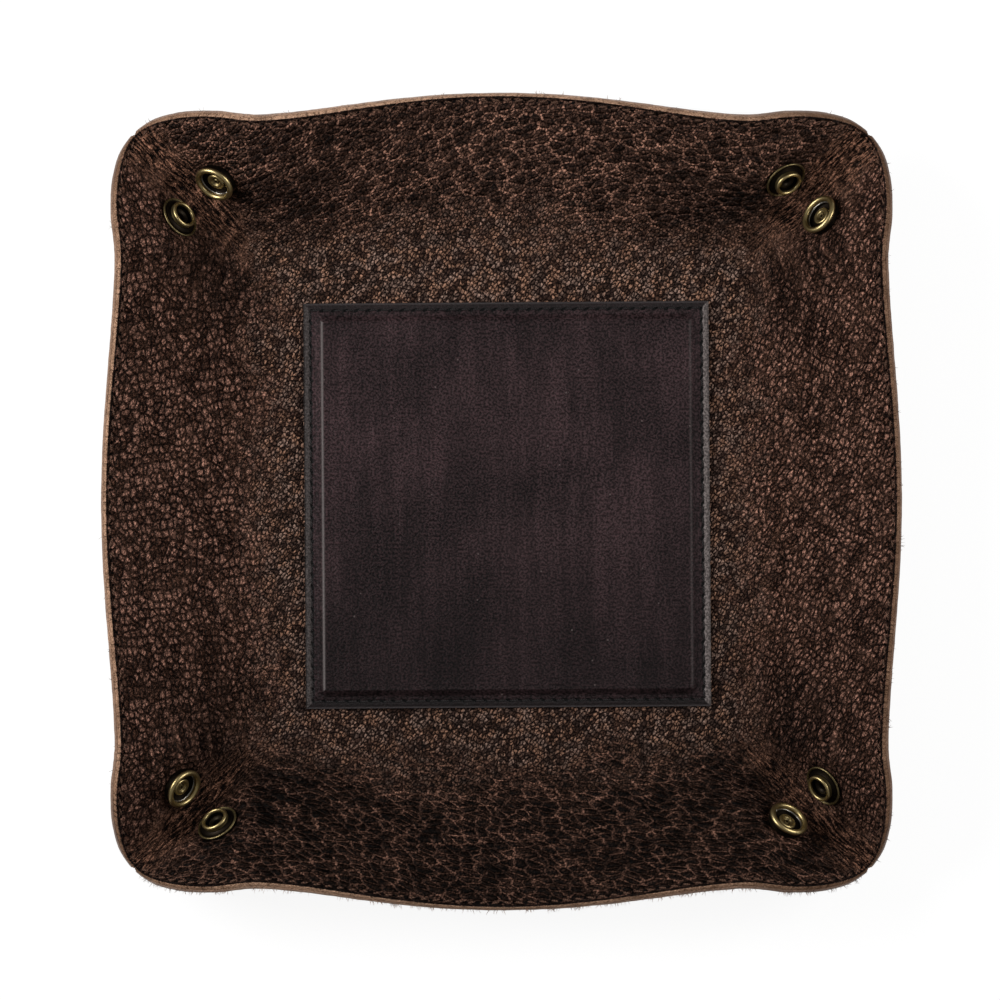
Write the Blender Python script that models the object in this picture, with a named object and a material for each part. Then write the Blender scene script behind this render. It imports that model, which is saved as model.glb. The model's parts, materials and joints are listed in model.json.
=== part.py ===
"""Leather snap tray. A square of pebbled leather, backed with a second one, is folded up along four
lines and pinched at its corners. Each corner holds a press snap: a socket on one wall's flap and a
stud on the next wall's. The tray is modelled unsnapped, as it relaxes, with its corners half pinched.

Metres, +Z up, +Y towards the north wall. The origin is on the underside, at the middle of the floor.
"""

import math

import bmesh
import bpy
from mathutils import Matrix, Vector

# The blank: one square of leather over one square of backing, both cut to the same outline.
BLANK_SIDE = 0.248
CORNER_RADIUS = 0.046
FLOOR_SIDE = 0.152
GRAIN_LEATHER = 0.0018
BACKING_LEATHER = 0.0012
GAP = 0.0003

# How far the walls stand up at rest, and how softly the leather bends.
NORTH_SOUTH_ANGLE = math.radians(23.0)
EAST_WEST_ANGLE = math.radians(32.0)
CORNER_ANGLE = math.radians(42.0)
CLOSED_ANGLE = math.radians(79.8)
FLAT_TURN = math.radians(23.0)
FOLD_ROUNDING = 0.008
VALLEY_ROUNDING = 0.016
VALLEY_SPREAD_SHARE = 2.4

# Slits between the panels, measured at the grain. They widen under it, so that the panels can turn.
FOLD_SLIT = 0.00095
CREASE_SLIT = 0.0008
CORNER_SLIT = 0.0013
TIP_CUT = 0.0035

# The snaps stand on pressed seats between a side crease and the corner's diagonal.
SNAP_CREASE_CLEARANCE = 0.0020
SNAP_VALLEY_CLEARANCE = 0.0097
SEAT_MARGIN = 0.0006
SEAT_FADE = 0.0110
SEAT_VALLEY_FADE = 0.0050

POST_RADIUS = 0.0017
SHEET_METAL = 0.0004
SOCKET_RADIUS = 0.00615
SOCKET_HEIGHT = 0.0033
STUD_FLANGE_RADIUS = 0.0064
STUD_RADIUS = 0.0042
SNAP_FIT = 0.00025
STUD_HEIGHT = 0.0029
STUD_BORE = 0.0031
CAP_RADIUS = 0.0062
CAP_HEIGHT = 0.0013
EYELET_RADIUS = 0.0051
EYELET_BORE = 0.0010
SPRING_WIRE_RADIUS = 0.00025
SPRING_OPENING = math.radians(30.0)

# The centre panel is sewn over a stiffener board, a little off the tray's centre and turned a touch.
PANEL_SIDE = 0.1215
PANEL_LEATHER = 0.0012
PANEL_EAST = 0.0017
PANEL_SOUTH = 0.0010
PANEL_TURN = math.radians(0.4)
PANEL_BORDER = 0.0055
BOARD_THICKNESS = 0.0009
PANEL_SLOPE = 0.0009

THREAD_RADIUS = 0.0003
STITCH_INSET = 0.0021

ROUND_SIDES = 20
SMALL_ROUND_SIDES = 16

HALF_BLANK = BLANK_SIDE / 2.0
HALF_FLOOR = FLOOR_SIDE / 2.0
BOARD_SIDE = PANEL_SIDE - 2.0 * PANEL_BORDER
SOCKET_MOUTH = STUD_RADIUS + SNAP_FIT
STACK = GRAIN_LEATHER + GAP + BACKING_LEATHER
# A snap's place on the flat blank, from the tray's centre lines: clear of the crease and the valley.
SNAP_RADIUS = max(STUD_FLANGE_RADIUS, SOCKET_RADIUS, CAP_RADIUS)
SNAP_ACROSS = HALF_FLOOR + SNAP_RADIUS + SNAP_CREASE_CLEARANCE
SNAP_ALONG = SNAP_ACROSS + SNAP_RADIUS + SNAP_VALLEY_CLEARANCE
SEAT_RADIUS = SNAP_RADIUS + SEAT_MARGIN
NORMAL_STEP = FOLD_ROUNDING / 1000.0
WALLS = ("north", "east", "south", "west")

LEATHER_COLOUR = (0.037, 0.018, 0.013)
BACKING_COLOUR = (0.26, 0.15, 0.095)
PANEL_COLOUR = (0.022, 0.014, 0.015)
THREAD_COLOUR = (0.010, 0.008, 0.008)
BOARD_COLOUR = (0.22, 0.16, 0.11)
BRASS_COLOUR = (0.30, 0.21, 0.085)
DARK_BRASS_COLOUR = (0.075, 0.055, 0.030)
STEEL_COLOUR = (0.35, 0.33, 0.30)


def clear_scene():
    for old in list(bpy.data.objects):
        bpy.data.objects.remove(old, do_unlink=True)


def finish_material(name, colour, roughness, metallic):
    """A Principled material of one colour."""
    material = bpy.data.materials.new(name)
    material.use_nodes = True
    shader = material.node_tree.nodes["Principled BSDF"]
    shader.inputs["Base Color"].default_value = (*colour, 1.0)
    shader.inputs["Roughness"].default_value = roughness
    shader.inputs["Metallic"].default_value = metallic
    return material


def eased(share):
    """0 to 1 with a soft start and end."""
    share = min(max(share, 0.0), 1.0)
    return share * share * (3.0 - 2.0 * share)


def eased_ramp(distance, reach):
    """0 before -reach, the distance itself past +reach, and a round bend between."""
    if distance >= reach:
        return distance
    share = max(distance + reach, 0.0) / (2.0 * reach)
    return 2.0 * reach * (share**3 - share**4 / 2.0)


def rounded_least(first, second):
    """The smaller of two rises past the folds, rounded where they are alike: the corner's valley.
    The arms beside the valley are drawn in, so that its bottom stays on the diagonal crease."""
    total = first + second
    if min(first, second) <= 0.0:
        return 0.0
    reach = VALLEY_ROUNDING * total / (VALLEY_ROUNDING + total)
    share = min(max(0.5 + 0.5 * (second - first) / reach, 0.0), 1.0)
    least = second + (first - second) * share - reach * share * (1.0 - share)
    spread = abs(first - second) / (reach * VALLEY_SPREAD_SHARE)
    return least + reach / 4.0 * (1.0 - eased(spread))


def diagonal_lift(wall_angle):
    """How steeply the corner's diagonal rises when the walls beside it stand at this angle: the
    45 degrees between a side crease and the diagonal stay the same however the corner is folded."""
    along = math.cos(wall_angle)
    across = math.sqrt(2.0) * math.sin(wall_angle)
    size = math.hypot(along, across)
    return math.atan2(across, along) - math.acos(min(1.0 / size, 1.0))


CORNER_LIFT = diagonal_lift(CORNER_ANGLE)
CLOSED_TURN = CLOSED_ANGLE - CORNER_ANGLE
FLAP_TURN = diagonal_lift(CLOSED_ANGLE) - CORNER_LIFT


def wall_angle_at(middle_angle, along):
    """A wall leans out at its middle and stands up towards its corners."""
    return middle_angle + (CORNER_ANGLE - middle_angle) * eased(along / HALF_FLOOR)


def folded_point(across, along, across_angle, along_angle):
    """A point of the blank, both coordinates positive, on the grain of the relaxed tray. The angles
    are the middle angles of the walls that across and along reach."""
    across_rise = eased_ramp(across - HALF_FLOOR, FOLD_ROUNDING)
    along_rise = eased_ramp(along - HALF_FLOOR, FOLD_ROUNDING)
    shared = rounded_least(across_rise, along_rise)
    across_wall = wall_angle_at(across_angle, along)
    along_wall = wall_angle_at(along_angle, across)
    across_free = across_rise - shared
    along_free = along_rise - shared
    return Vector((
        across - across_rise + across_free * math.cos(across_wall) + shared * math.cos(CORNER_LIFT),
        along - along_rise + along_free * math.cos(along_wall) + shared * math.cos(CORNER_LIFT),
        across_free * math.sin(across_wall)
        + along_free * math.sin(along_wall)
        + shared * math.sqrt(2.0) * math.sin(CORNER_LIFT),
    ))


FLOOR_CORNER = Vector((HALF_FLOOR, HALF_FLOOR, 0.0))
FOLD_AXIS = Vector((1.0, 0.0, 0.0))
CREASE_AXIS = Vector((0.0, math.cos(CORNER_ANGLE), math.sin(CORNER_ANGLE)))


def turn_about(point, axis, angle):
    return Matrix.Translation(point) @ Matrix.Rotation(angle, 4, axis) @ Matrix.Translation(-point)


def seat_of_snap():
    """The middle and the facing of the pressed seat on the north wall's east flap, at rest. With the
    corner closed the seat faces the diagonal plane squarely, so that the two halves meet in line."""
    middle = folded_point(SNAP_ACROSS, SNAP_ALONG, CORNER_ANGLE, CORNER_ANGLE)
    closing = turn_about(FLOOR_CORNER, FOLD_AXIS, CLOSED_TURN)
    closing = closing @ turn_about(FLOOR_CORNER, CREASE_AXIS, FLAP_TURN)
    squarely = Vector((1.0, -1.0, 0.0)).normalized()
    facing = closing.to_3x3().inverted() @ squarely
    return middle, facing


SEAT_MIDDLE, SEAT_FACING = seat_of_snap()


def swapped(vector):
    """The same point seen across the diagonal."""
    return Vector((vector.y, vector.x, vector.z))


def pressed(point, across, along):
    """The point moved onto the snap's flat seat where it is near one."""
    mirrored = across > along
    if mirrored:
        across, along, point = along, across, swapped(point)
    distance = math.hypot(across - SNAP_ACROSS, along - SNAP_ALONG)
    weight = 1.0 - eased((distance - SEAT_RADIUS) / SEAT_FADE)
    weight *= eased((along - across) / math.sqrt(2.0) / SEAT_VALLEY_FADE)
    point = point - SEAT_FACING * ((point - SEAT_MIDDLE).dot(SEAT_FACING) * weight)
    return swapped(point) if mirrored else point


def grain_point(across, along, across_angle, along_angle):
    """Any point of the blank on the relaxed grain surface, height counted from the floor's grain."""
    point = folded_point(abs(across), abs(along), across_angle, along_angle)
    point = pressed(point, abs(across), abs(along))
    return Vector((math.copysign(point.x, across), math.copysign(point.y, along), point.z))


def leather_point(across, along, depth, angles):
    """The same point, this deep under the grain, with the tray's underside at height 0."""
    point = grain_point(across, along, *angles)
    east = grain_point(across + NORMAL_STEP, along, *angles) - point
    north = grain_point(across, along + NORMAL_STEP, *angles) - point
    normal = east.cross(north).normalized()
    return point - normal * depth + Vector((0.0, 0.0, STACK))


def blank_edge(across):
    """How far the blank reaches along, at this distance across: a straight side and a round corner."""
    past = abs(across) - (HALF_BLANK - CORNER_RADIUS)
    if past <= 0.0:
        return HALF_BLANK
    return HALF_BLANK - CORNER_RADIUS + math.sqrt(max(CORNER_RADIUS**2 - past**2, 0.0))


def edge_at_corner_slit(slit):
    """Where the round corner meets the line beside the diagonal, on the blank."""
    centre = HALF_BLANK - CORNER_RADIUS
    offset = slit / math.sqrt(2.0)
    reach = math.sqrt(CORNER_RADIUS**2 - slit**2) / math.sqrt(2.0)
    return centre + reach - offset


def sheet_object(name, columns, rows, upper_depth, lower_depth, flat_place, angles, turn):
    """A curved sheet of leather: a unit grid, thickened by an extrusion, then laid on the tray.
    flat_place gives the blank's coordinates for two shares and a depth."""
    mesh = bmesh.new()
    bmesh.ops.create_grid(mesh, x_segments=columns, y_segments=rows, size=0.5)
    raised = bmesh.ops.extrude_face_region(mesh, geom=mesh.faces[:])
    for vertex in raised["geom"]:
        if isinstance(vertex, bmesh.types.BMVert):
            vertex.co.z = 1.0
    for vertex in mesh.verts:
        depth = upper_depth if vertex.co.z > 0.5 else lower_depth
        across, along = flat_place(vertex.co.x + 0.5, vertex.co.y + 0.5, depth)
        vertex.co = turn @ leather_point(across, along, depth, angles)
    bmesh.ops.recalc_face_normals(mesh, faces=mesh.faces)
    return mesh_object(name, mesh)


def mesh_object(name, mesh):
    data = bpy.data.meshes.new(name)
    mesh.to_mesh(data)
    mesh.free()
    made = bpy.data.objects.new(name, data)
    bpy.context.scene.collection.objects.link(made)
    data.shade_smooth()
    data.set_sharp_from_angle(angle=math.radians(40.0))
    return made


def hang(made, holder):
    """Gives a piece whose mesh is in tray coordinates to the empty on its joint's axis."""
    made.data.transform(holder.matrix_world.inverted())
    made.parent = holder
    return made


def axis_holder(name, point, parent):
    """An empty on a joint's axis."""
    holder = bpy.data.objects.new(name, None)
    bpy.context.scene.collection.objects.link(holder)
    world = Matrix.Translation(point)
    if parent is not None:
        holder.parent = parent
        holder.matrix_basis = parent.matrix_world.inverted() @ world
    else:
        holder.matrix_basis = world
    bpy.context.view_layer.update()
    return holder


LAYERS = (
    ("leather", 0.0, GRAIN_LEATHER, LEATHER_COLOUR, 0.55),
    ("backing", GRAIN_LEATHER + GAP, STACK, BACKING_COLOUR, 0.9),
)

# Where the floor's grid lines lie, as shares of the half floor: close together in the bend.
FLOOR_LINE_SHARES = (0.0, 0.44, 0.84, 0.92, 1.0)
FLOOR_COLUMNS = 2 * (len(FLOOR_LINE_SHARES) - 1)
WALL_COLUMNS = 10
WALL_ROWS = 5
FLAP_COLUMNS = 7
FLAP_ROWS = 8
WALL_LINE_SHARES = (0.0, 0.10, 0.22, 0.40, 0.70, 1.0)


def fold_inset(depth):
    """Half the slit at a fold line, whose axis lies inside the leather's thickness."""
    return FOLD_SLIT / 2.0 + depth * math.tan(FLAT_TURN / 4.0)


def floor_line(share, depth):
    step = round(share * FLOOR_COLUMNS) - len(FLOOR_LINE_SHARES) + 1
    return math.copysign(FLOOR_LINE_SHARES[abs(step)], step) * (HALF_FLOOR - fold_inset(depth))


def floor_place(east_share, north_share, depth):
    return floor_line(east_share, depth), floor_line(north_share, depth)


def add_floor():
    angles = (EAST_WEST_ANGLE, NORTH_SOUTH_ANGLE)

    for layer, upper, lower, colour, roughness in LAYERS:
        name = f"floor_{layer}"
        made = sheet_object(
            name, FLOOR_COLUMNS, FLOOR_COLUMNS, upper, lower, floor_place, angles, Matrix.Identity(4),
        )
        made.data.materials.append(finish_material(name, colour, roughness, 0.0))


def crease_inset(depth):
    """Half the slit at a side crease. The flaps fold outwards there, so it widens with depth."""
    return CREASE_SLIT / 2.0 + depth * math.tan(FLAP_TURN * 0.56)


def corner_inset(depth):
    """Half the slit at the diagonal, which closes under the grain as the corner flattens."""
    return CORNER_SLIT / 2.0 + depth * math.tan(FLAT_TURN * 1.2)


def wall_place(share, rise, depth):
    """Across and along for a wall: from the fold to the rim, between its two side creases."""
    half = HALF_FLOOR - crease_inset(depth)
    across = (2.0 * share - 1.0) * half
    fold = HALF_FLOOR + fold_inset(depth)
    line = WALL_LINE_SHARES[round(rise * WALL_ROWS)]
    return across, fold + (blank_edge(across) - fold) * line


def flap_place(share, rise, depth, side):
    """Across and along for a flap: a fan from the floor's corner to the round corner of the blank,
    between the side crease and the diagonal. side is 1 for the east flap and -1 for the west one."""
    crease = HALF_FLOOR + crease_inset(depth)
    valley = corner_inset(depth) * math.sqrt(2.0)
    tip = crease + valley + TIP_CUT
    inner_across = crease + (tip - valley - crease) * share
    outer_across = crease + (edge_at_corner_slit(corner_inset(depth)) - crease) * share
    outer_along = blank_edge(outer_across)
    across = inner_across + (outer_across - inner_across) * rise
    along = tip + (outer_along - tip) * rise
    return side * across, along


def seat_frame(side, turn):
    """Snap coordinates: Z out of the grain, the origin on the grain, for one flap of a wall."""
    facing = Vector((side * SEAT_FACING.x, SEAT_FACING.y, SEAT_FACING.z))
    middle = Vector((side * SEAT_MIDDLE.x, SEAT_MIDDLE.y, SEAT_MIDDLE.z + STACK))
    up = Vector((0.0, 0.0, 1.0))
    level = up.cross(facing).normalized()
    frame = Matrix.Identity(4)
    for column, direction in enumerate((level, facing.cross(level), facing)):
        frame.col[column][:3] = direction
    frame.col[3][:3] = middle
    return turn @ frame


def turned_object(name, profile, sides):
    """A body of revolution about Z. The profile is a loop of radius and height."""
    mesh = bmesh.new()
    ring = [mesh.verts.new((radius, 0.0, height)) for radius, height in profile]
    edges = [mesh.edges.new((ring[i - 1], ring[i])) for i in range(len(ring))]
    bmesh.ops.spin(
        mesh, geom=ring + edges, cent=(0.0, 0.0, 0.0), axis=(0.0, 0.0, 1.0),
        angle=2.0 * math.pi, steps=sides, use_merge=True,
    )
    bmesh.ops.remove_doubles(mesh, verts=mesh.verts, dist=GAP / 100.0)
    bmesh.ops.dissolve_degenerate(mesh, edges=mesh.edges, dist=GAP / 100.0)
    bmesh.ops.recalc_face_normals(mesh, faces=mesh.faces)
    return mesh_object(name, mesh)


def set_in_seat(made, frame, holder, colour, roughness, metallic):
    made.parent = holder
    made.matrix_basis = holder.matrix_world.inverted() @ frame
    made.data.materials.append(finish_material(made.name, colour, roughness, metallic))


def socket_profile():
    bore = POST_RADIUS + GAP
    foot = SOCKET_RADIUS * 0.9
    wall = foot - SHEET_METAL
    return (
        (bore, GAP),
        (foot, GAP),
        (foot, SOCKET_HEIGHT * 0.55),
        (SOCKET_RADIUS, SOCKET_HEIGHT * 0.75),
        (SOCKET_RADIUS, GAP + SOCKET_HEIGHT - SHEET_METAL),
        (SOCKET_RADIUS - SHEET_METAL, GAP + SOCKET_HEIGHT),
        (SOCKET_MOUTH + SHEET_METAL, GAP + SOCKET_HEIGHT),
        (SOCKET_MOUTH, GAP + SOCKET_HEIGHT - SHEET_METAL),
        (SOCKET_MOUTH, GAP + SOCKET_HEIGHT - 2.0 * SHEET_METAL),
        (wall, GAP + SOCKET_HEIGHT - 3.0 * SHEET_METAL),
        (wall, GAP + SHEET_METAL),
        (bore, GAP + SHEET_METAL),
    )


def stud_profile():
    bore = POST_RADIUS + GAP
    rim = SHEET_METAL * 0.75
    top = GAP + STUD_HEIGHT
    return (
        (bore, GAP),
        (STUD_FLANGE_RADIUS - rim, GAP),
        (STUD_FLANGE_RADIUS, GAP + SHEET_METAL),
        (STUD_FLANGE_RADIUS, GAP + 2.0 * SHEET_METAL),
        (STUD_FLANGE_RADIUS - rim, GAP + 2.0 * SHEET_METAL),
        (STUD_FLANGE_RADIUS - 2.0 * rim, GAP + SHEET_METAL),
        (STUD_RADIUS + rim, GAP + SHEET_METAL),
        (STUD_RADIUS, GAP + 2.0 * SHEET_METAL),
        (STUD_RADIUS, top - SHEET_METAL),
        (STUD_RADIUS - SHEET_METAL, top),
        (STUD_BORE + rim, top),
        (STUD_BORE, top - SHEET_METAL),
        (STUD_BORE, GAP + SHEET_METAL),
        (bore, GAP + SHEET_METAL),
    )


def cap_profile():
    """The domed cap on the outside, its post through both leathers, and the post's rolled end."""
    under = -STACK - GAP
    seat = 2.0 * GAP + SHEET_METAL
    roll = POST_RADIUS * 1.6
    dimple = POST_RADIUS * 0.45
    return (
        (0.0, under - CAP_HEIGHT),
        (CAP_RADIUS * 0.5, under - CAP_HEIGHT * 0.88),
        (CAP_RADIUS * 0.85, under - CAP_HEIGHT * 0.55),
        (CAP_RADIUS, under - CAP_HEIGHT * 0.15),
        (CAP_RADIUS - SHEET_METAL, under),
        (POST_RADIUS, under),
        (POST_RADIUS, seat),
        (roll, seat),
        (roll, seat + SHEET_METAL),
        (roll - SHEET_METAL, seat + 2.0 * SHEET_METAL),
        (dimple, seat + 2.0 * SHEET_METAL),
        (0.0, seat + SHEET_METAL),
    )


def eyelet_profile():
    """The flat eyelet that carries the stud: flange outside, barrel through, and a flared end."""
    under = -STACK - GAP
    seat = 2.0 * GAP + SHEET_METAL
    flare = POST_RADIUS * 1.5
    return (
        (EYELET_BORE, under - 2.0 * SHEET_METAL),
        (EYELET_RADIUS - SHEET_METAL, under - 2.0 * SHEET_METAL),
        (EYELET_RADIUS, under - SHEET_METAL),
        (EYELET_RADIUS - SHEET_METAL, under),
        (POST_RADIUS, under),
        (POST_RADIUS, seat),
        (flare, seat),
        (flare, seat + SHEET_METAL),
        (EYELET_BORE, seat + 2.0 * SHEET_METAL),
    )


def spring_object(name):
    """The split ring inside the socket that grips the stud."""
    radius = SOCKET_RADIUS * 0.9 - SHEET_METAL - GAP - SPRING_WIRE_RADIUS
    height = GAP + SOCKET_HEIGHT - 3.0 * SHEET_METAL - GAP - SPRING_WIRE_RADIUS
    curve = bpy.data.curves.new(name, "CURVE")
    curve.dimensions = "3D"
    curve.bevel_depth = SPRING_WIRE_RADIUS
    curve.bevel_resolution = 1
    curve.use_fill_caps = True
    spline = curve.splines.new("POLY")
    spline.points.add(SMALL_ROUND_SIDES - 1)
    for number, point in enumerate(spline.points):
        share = number / (SMALL_ROUND_SIDES - 1)
        angle = SPRING_OPENING / 2.0 + (2.0 * math.pi - SPRING_OPENING) * share
        point.co = (radius * math.cos(angle), radius * math.sin(angle), height, 1.0)
    made = bpy.data.objects.new(name, curve)
    bpy.context.scene.collection.objects.link(made)
    return made


def post_cutter(name, frame, holder):
    """The round hole that a post passes through, cut in both leathers."""
    reach = STACK
    cutter = turned_object(
        name,
        (
            (0.0, -STACK - reach),
            (POST_RADIUS + GAP, -STACK - reach),
            (POST_RADIUS + GAP, reach),
            (0.0, reach),
        ),
        SMALL_ROUND_SIDES,
    )
    cutter.parent = holder
    cutter.matrix_basis = holder.matrix_world.inverted() @ frame
    cutter.hide_render = True
    cutter.display_type = "WIRE"
    return cutter


def add_flap(wall, kind, side, turn, angles, fold_holder):
    """One corner flap of a wall, with its half of the snap."""
    corner = turn @ Vector((side * HALF_FLOOR, HALF_FLOOR, STACK))
    holder = axis_holder(f"{wall}_{kind}_crease", corner, fold_holder)
    frame = seat_frame(side, turn)
    cutter = post_cutter(f"{wall}_{kind}_hole", frame, holder)
    for layer, upper, lower, colour, roughness in LAYERS:
        name = f"{wall}_{kind}_flap_{layer}"
        made = sheet_object(
            name, FLAP_COLUMNS, FLAP_ROWS, upper, lower,
            lambda share, rise, depth: flap_place(share, rise, depth, side),
            angles, turn,
        )
        made.data.materials.append(finish_material(name, colour, roughness, 0.0))
        hang(made, holder)
        hole = made.modifiers.new("post hole", "BOOLEAN")
        hole.object = cutter
        hole.operation = "DIFFERENCE"
        hole.solver = "EXACT"
    if kind == "stud":
        stud = turned_object(f"{wall}_stud", stud_profile(), ROUND_SIDES)
        set_in_seat(stud, frame, holder, BRASS_COLOUR, 0.32, 1.0)
        eyelet = turned_object(f"{wall}_stud_eyelet", eyelet_profile(), SMALL_ROUND_SIDES)
        set_in_seat(eyelet, frame, holder, DARK_BRASS_COLOUR, 0.4, 1.0)
    else:
        socket = turned_object(f"{wall}_socket", socket_profile(), ROUND_SIDES)
        set_in_seat(socket, frame, holder, BRASS_COLOUR, 0.32, 1.0)
        cap = turned_object(f"{wall}_socket_cap", cap_profile(), SMALL_ROUND_SIDES)
        set_in_seat(cap, frame, holder, BRASS_COLOUR, 0.35, 1.0)
        spring = spring_object(f"{wall}_ring_spring")
        set_in_seat(spring, frame, holder, STEEL_COLOUR, 0.35, 1.0)


def add_wall(number, wall):
    """A wall and the flaps at its two ends. The walls follow one another clockwise from the north."""
    turn = Matrix.Rotation(-number * math.pi / 2.0, 4, "Z")
    own, next_to = NORTH_SOUTH_ANGLE, EAST_WEST_ANGLE
    if wall in ("east", "west"):
        own, next_to = next_to, own
    angles = (next_to, own)
    holder = axis_holder(f"{wall}_fold", turn @ Vector((0.0, HALF_FLOOR, STACK)), None)
    for layer, upper, lower, colour, roughness in LAYERS:
        name = f"{wall}_wall_{layer}"
        made = sheet_object(name, WALL_COLUMNS, WALL_ROWS, upper, lower, wall_place, angles, turn)
        made.data.materials.append(finish_material(name, colour, roughness, 0.0))
        hang(made, holder)
    add_flap(wall, "stud", 1.0, turn, angles, holder)
    add_flap(wall, "socket", -1.0, turn, angles, holder)


def panel_frame():
    place = Matrix.Translation((PANEL_EAST, -PANEL_SOUTH, STACK + GAP))
    return place @ Matrix.Rotation(PANEL_TURN, 4, "Z")


def add_board():
    mesh = bmesh.new()
    size = Matrix.Diagonal((BOARD_SIDE, BOARD_SIDE, BOARD_THICKNESS, 1.0))
    lift = Matrix.Translation((0.0, 0.0, BOARD_THICKNESS / 2.0))
    bmesh.ops.create_cube(mesh, size=1.0, matrix=lift @ size)
    made = mesh_object("stiffener_board", mesh)
    made.matrix_basis = panel_frame()
    made.data.materials.append(finish_material("stiffener_board", BOARD_COLOUR, 0.9, 0.0))


def add_panel():
    """The smooth leather square: flat on the tray at its sewn border, raised over the board."""
    plateau = BOARD_SIDE / 2.0 + GAP + PANEL_SLOPE / 2.0
    lines = (-PANEL_SIDE / 2.0, -plateau - PANEL_SLOPE, -plateau)
    lines = lines + tuple(-line for line in reversed(lines))
    count = len(lines) - 1
    raised = BOARD_THICKNESS + GAP
    mesh = bmesh.new()
    bmesh.ops.create_grid(mesh, x_segments=count, y_segments=count, size=0.5)
    upper = bmesh.ops.extrude_face_region(mesh, geom=mesh.faces[:])
    for vertex in upper["geom"]:
        if isinstance(vertex, bmesh.types.BMVert):
            vertex.co.z = 1.0
    for vertex in mesh.verts:
        column = round((vertex.co.x + 0.5) * count)
        row = round((vertex.co.y + 0.5) * count)
        inside = 1 < column < count - 1 and 1 < row < count - 1
        height = PANEL_LEATHER * vertex.co.z + (raised if inside else 0.0)
        vertex.co = (lines[column], lines[row], height)
    bmesh.ops.recalc_face_normals(mesh, faces=mesh.faces)
    made = mesh_object("centre_panel", mesh)
    made.matrix_basis = panel_frame()
    made.data.materials.append(finish_material("centre_panel", PANEL_COLOUR, 0.42, 0.0))


def add_panel_stitching():
    """The thread of the seam round the panel, as the one line that it follows."""
    half = PANEL_SIDE / 2.0 - STITCH_INSET
    height = PANEL_LEATHER + GAP + THREAD_RADIUS
    curve = bpy.data.curves.new("panel_stitching", "CURVE")
    curve.dimensions = "3D"
    curve.bevel_depth = THREAD_RADIUS
    curve.bevel_resolution = 1
    spline = curve.splines.new("POLY")
    spline.points.add(3)
    corners = ((-half, -half), (half, -half), (half, half), (-half, half))
    for point, (east, north) in zip(spline.points, corners):
        point.co = (east, north, height, 1.0)
    spline.use_cyclic_u = True
    made = bpy.data.objects.new("panel_stitching", curve)
    bpy.context.scene.collection.objects.link(made)
    made.matrix_basis = panel_frame()
    made.data.materials.append(finish_material("panel_stitching", THREAD_COLOUR, 0.8, 0.0))


clear_scene()
add_floor()
for wall_number, wall_name in enumerate(WALLS):
    add_wall(wall_number, wall_name)
add_board()
add_panel()
add_panel_stitching()
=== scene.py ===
"""The looks of the leather snap tray: pebbled leather over a raw-edged backing, a sewn centre panel
and four antiqued press snaps, on a white table top. Metres, +Z up, +Y towards the north wall."""

import json
import math

import bmesh
import bpy
import numpy as np
from mathutils import Matrix, Vector


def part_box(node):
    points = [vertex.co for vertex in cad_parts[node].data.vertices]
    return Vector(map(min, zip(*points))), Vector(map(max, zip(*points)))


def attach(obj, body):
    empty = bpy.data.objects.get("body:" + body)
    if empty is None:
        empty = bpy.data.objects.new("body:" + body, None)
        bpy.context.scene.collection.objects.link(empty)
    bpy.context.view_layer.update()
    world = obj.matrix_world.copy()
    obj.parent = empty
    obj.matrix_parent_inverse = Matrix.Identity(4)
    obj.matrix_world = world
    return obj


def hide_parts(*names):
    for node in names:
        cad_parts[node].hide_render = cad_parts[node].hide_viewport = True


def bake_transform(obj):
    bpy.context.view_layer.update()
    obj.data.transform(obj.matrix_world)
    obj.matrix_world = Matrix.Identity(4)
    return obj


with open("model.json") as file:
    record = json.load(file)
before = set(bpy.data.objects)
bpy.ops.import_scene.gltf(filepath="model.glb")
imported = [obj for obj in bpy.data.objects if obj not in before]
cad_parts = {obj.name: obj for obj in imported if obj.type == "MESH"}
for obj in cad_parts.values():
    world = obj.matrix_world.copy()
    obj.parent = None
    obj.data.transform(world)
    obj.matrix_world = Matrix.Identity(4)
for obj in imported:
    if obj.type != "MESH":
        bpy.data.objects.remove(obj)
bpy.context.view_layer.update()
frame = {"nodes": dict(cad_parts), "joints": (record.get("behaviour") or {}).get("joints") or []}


# The relaxed form. One square blank with round corners is folded up along four lines and pinched at
# its corners. Relaxed, each wall leans out at its middle and stands up towards its ends, and the
# corner between two walls is a soft valley. Everything made of this leather is laid on this form.
joints = {joint["name"]: joint for joint in frame["joints"]}
HALF_FLOOR = joints["north_fold"]["pos_m"][1]
STACK = joints["north_fold"]["pos_m"][2]
CREASE_AXIS = Vector(joints["north_stud_crease"]["axis"])
CORNER_ANGLE = math.atan2(CREASE_AXIS.z, CREASE_AXIS.y)
CLOSED_TURN = math.radians(joints["north_fold"]["range_deg"][1])
HALF_BLANK = 0.124
CORNER_RADIUS = 0.046
NORTH_SOUTH_ANGLE = math.radians(23.0)
EAST_WEST_ANGLE = math.radians(32.0)
FOLD_ROUNDING = 0.008
VALLEY_ROUNDING = 0.016
VALLEY_SPREAD_SHARE = 2.4
SNAP_ACROSS = 0.0844
SNAP_ALONG = 0.1005
SEAT_RADIUS = 0.0070
SEAT_FADE = 0.0110
SEAT_VALLEY_FADE = 0.0050
NORMAL_STEP = 0.00001
ROOT_TWO = math.sqrt(2.0)
WALLS = ("north", "east", "south", "west")
FLAPS = (("stud", 1.0), ("socket", -1.0))


def eased(share):
    """0 to 1 with a soft start and end."""
    share = np.clip(share, 0.0, 1.0)
    return share * share * (3.0 - 2.0 * share)


def past(place, start, length):
    """0 up to the start and 1 from a length after it, with a soft step between."""
    return eased((place - start) / length)


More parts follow.
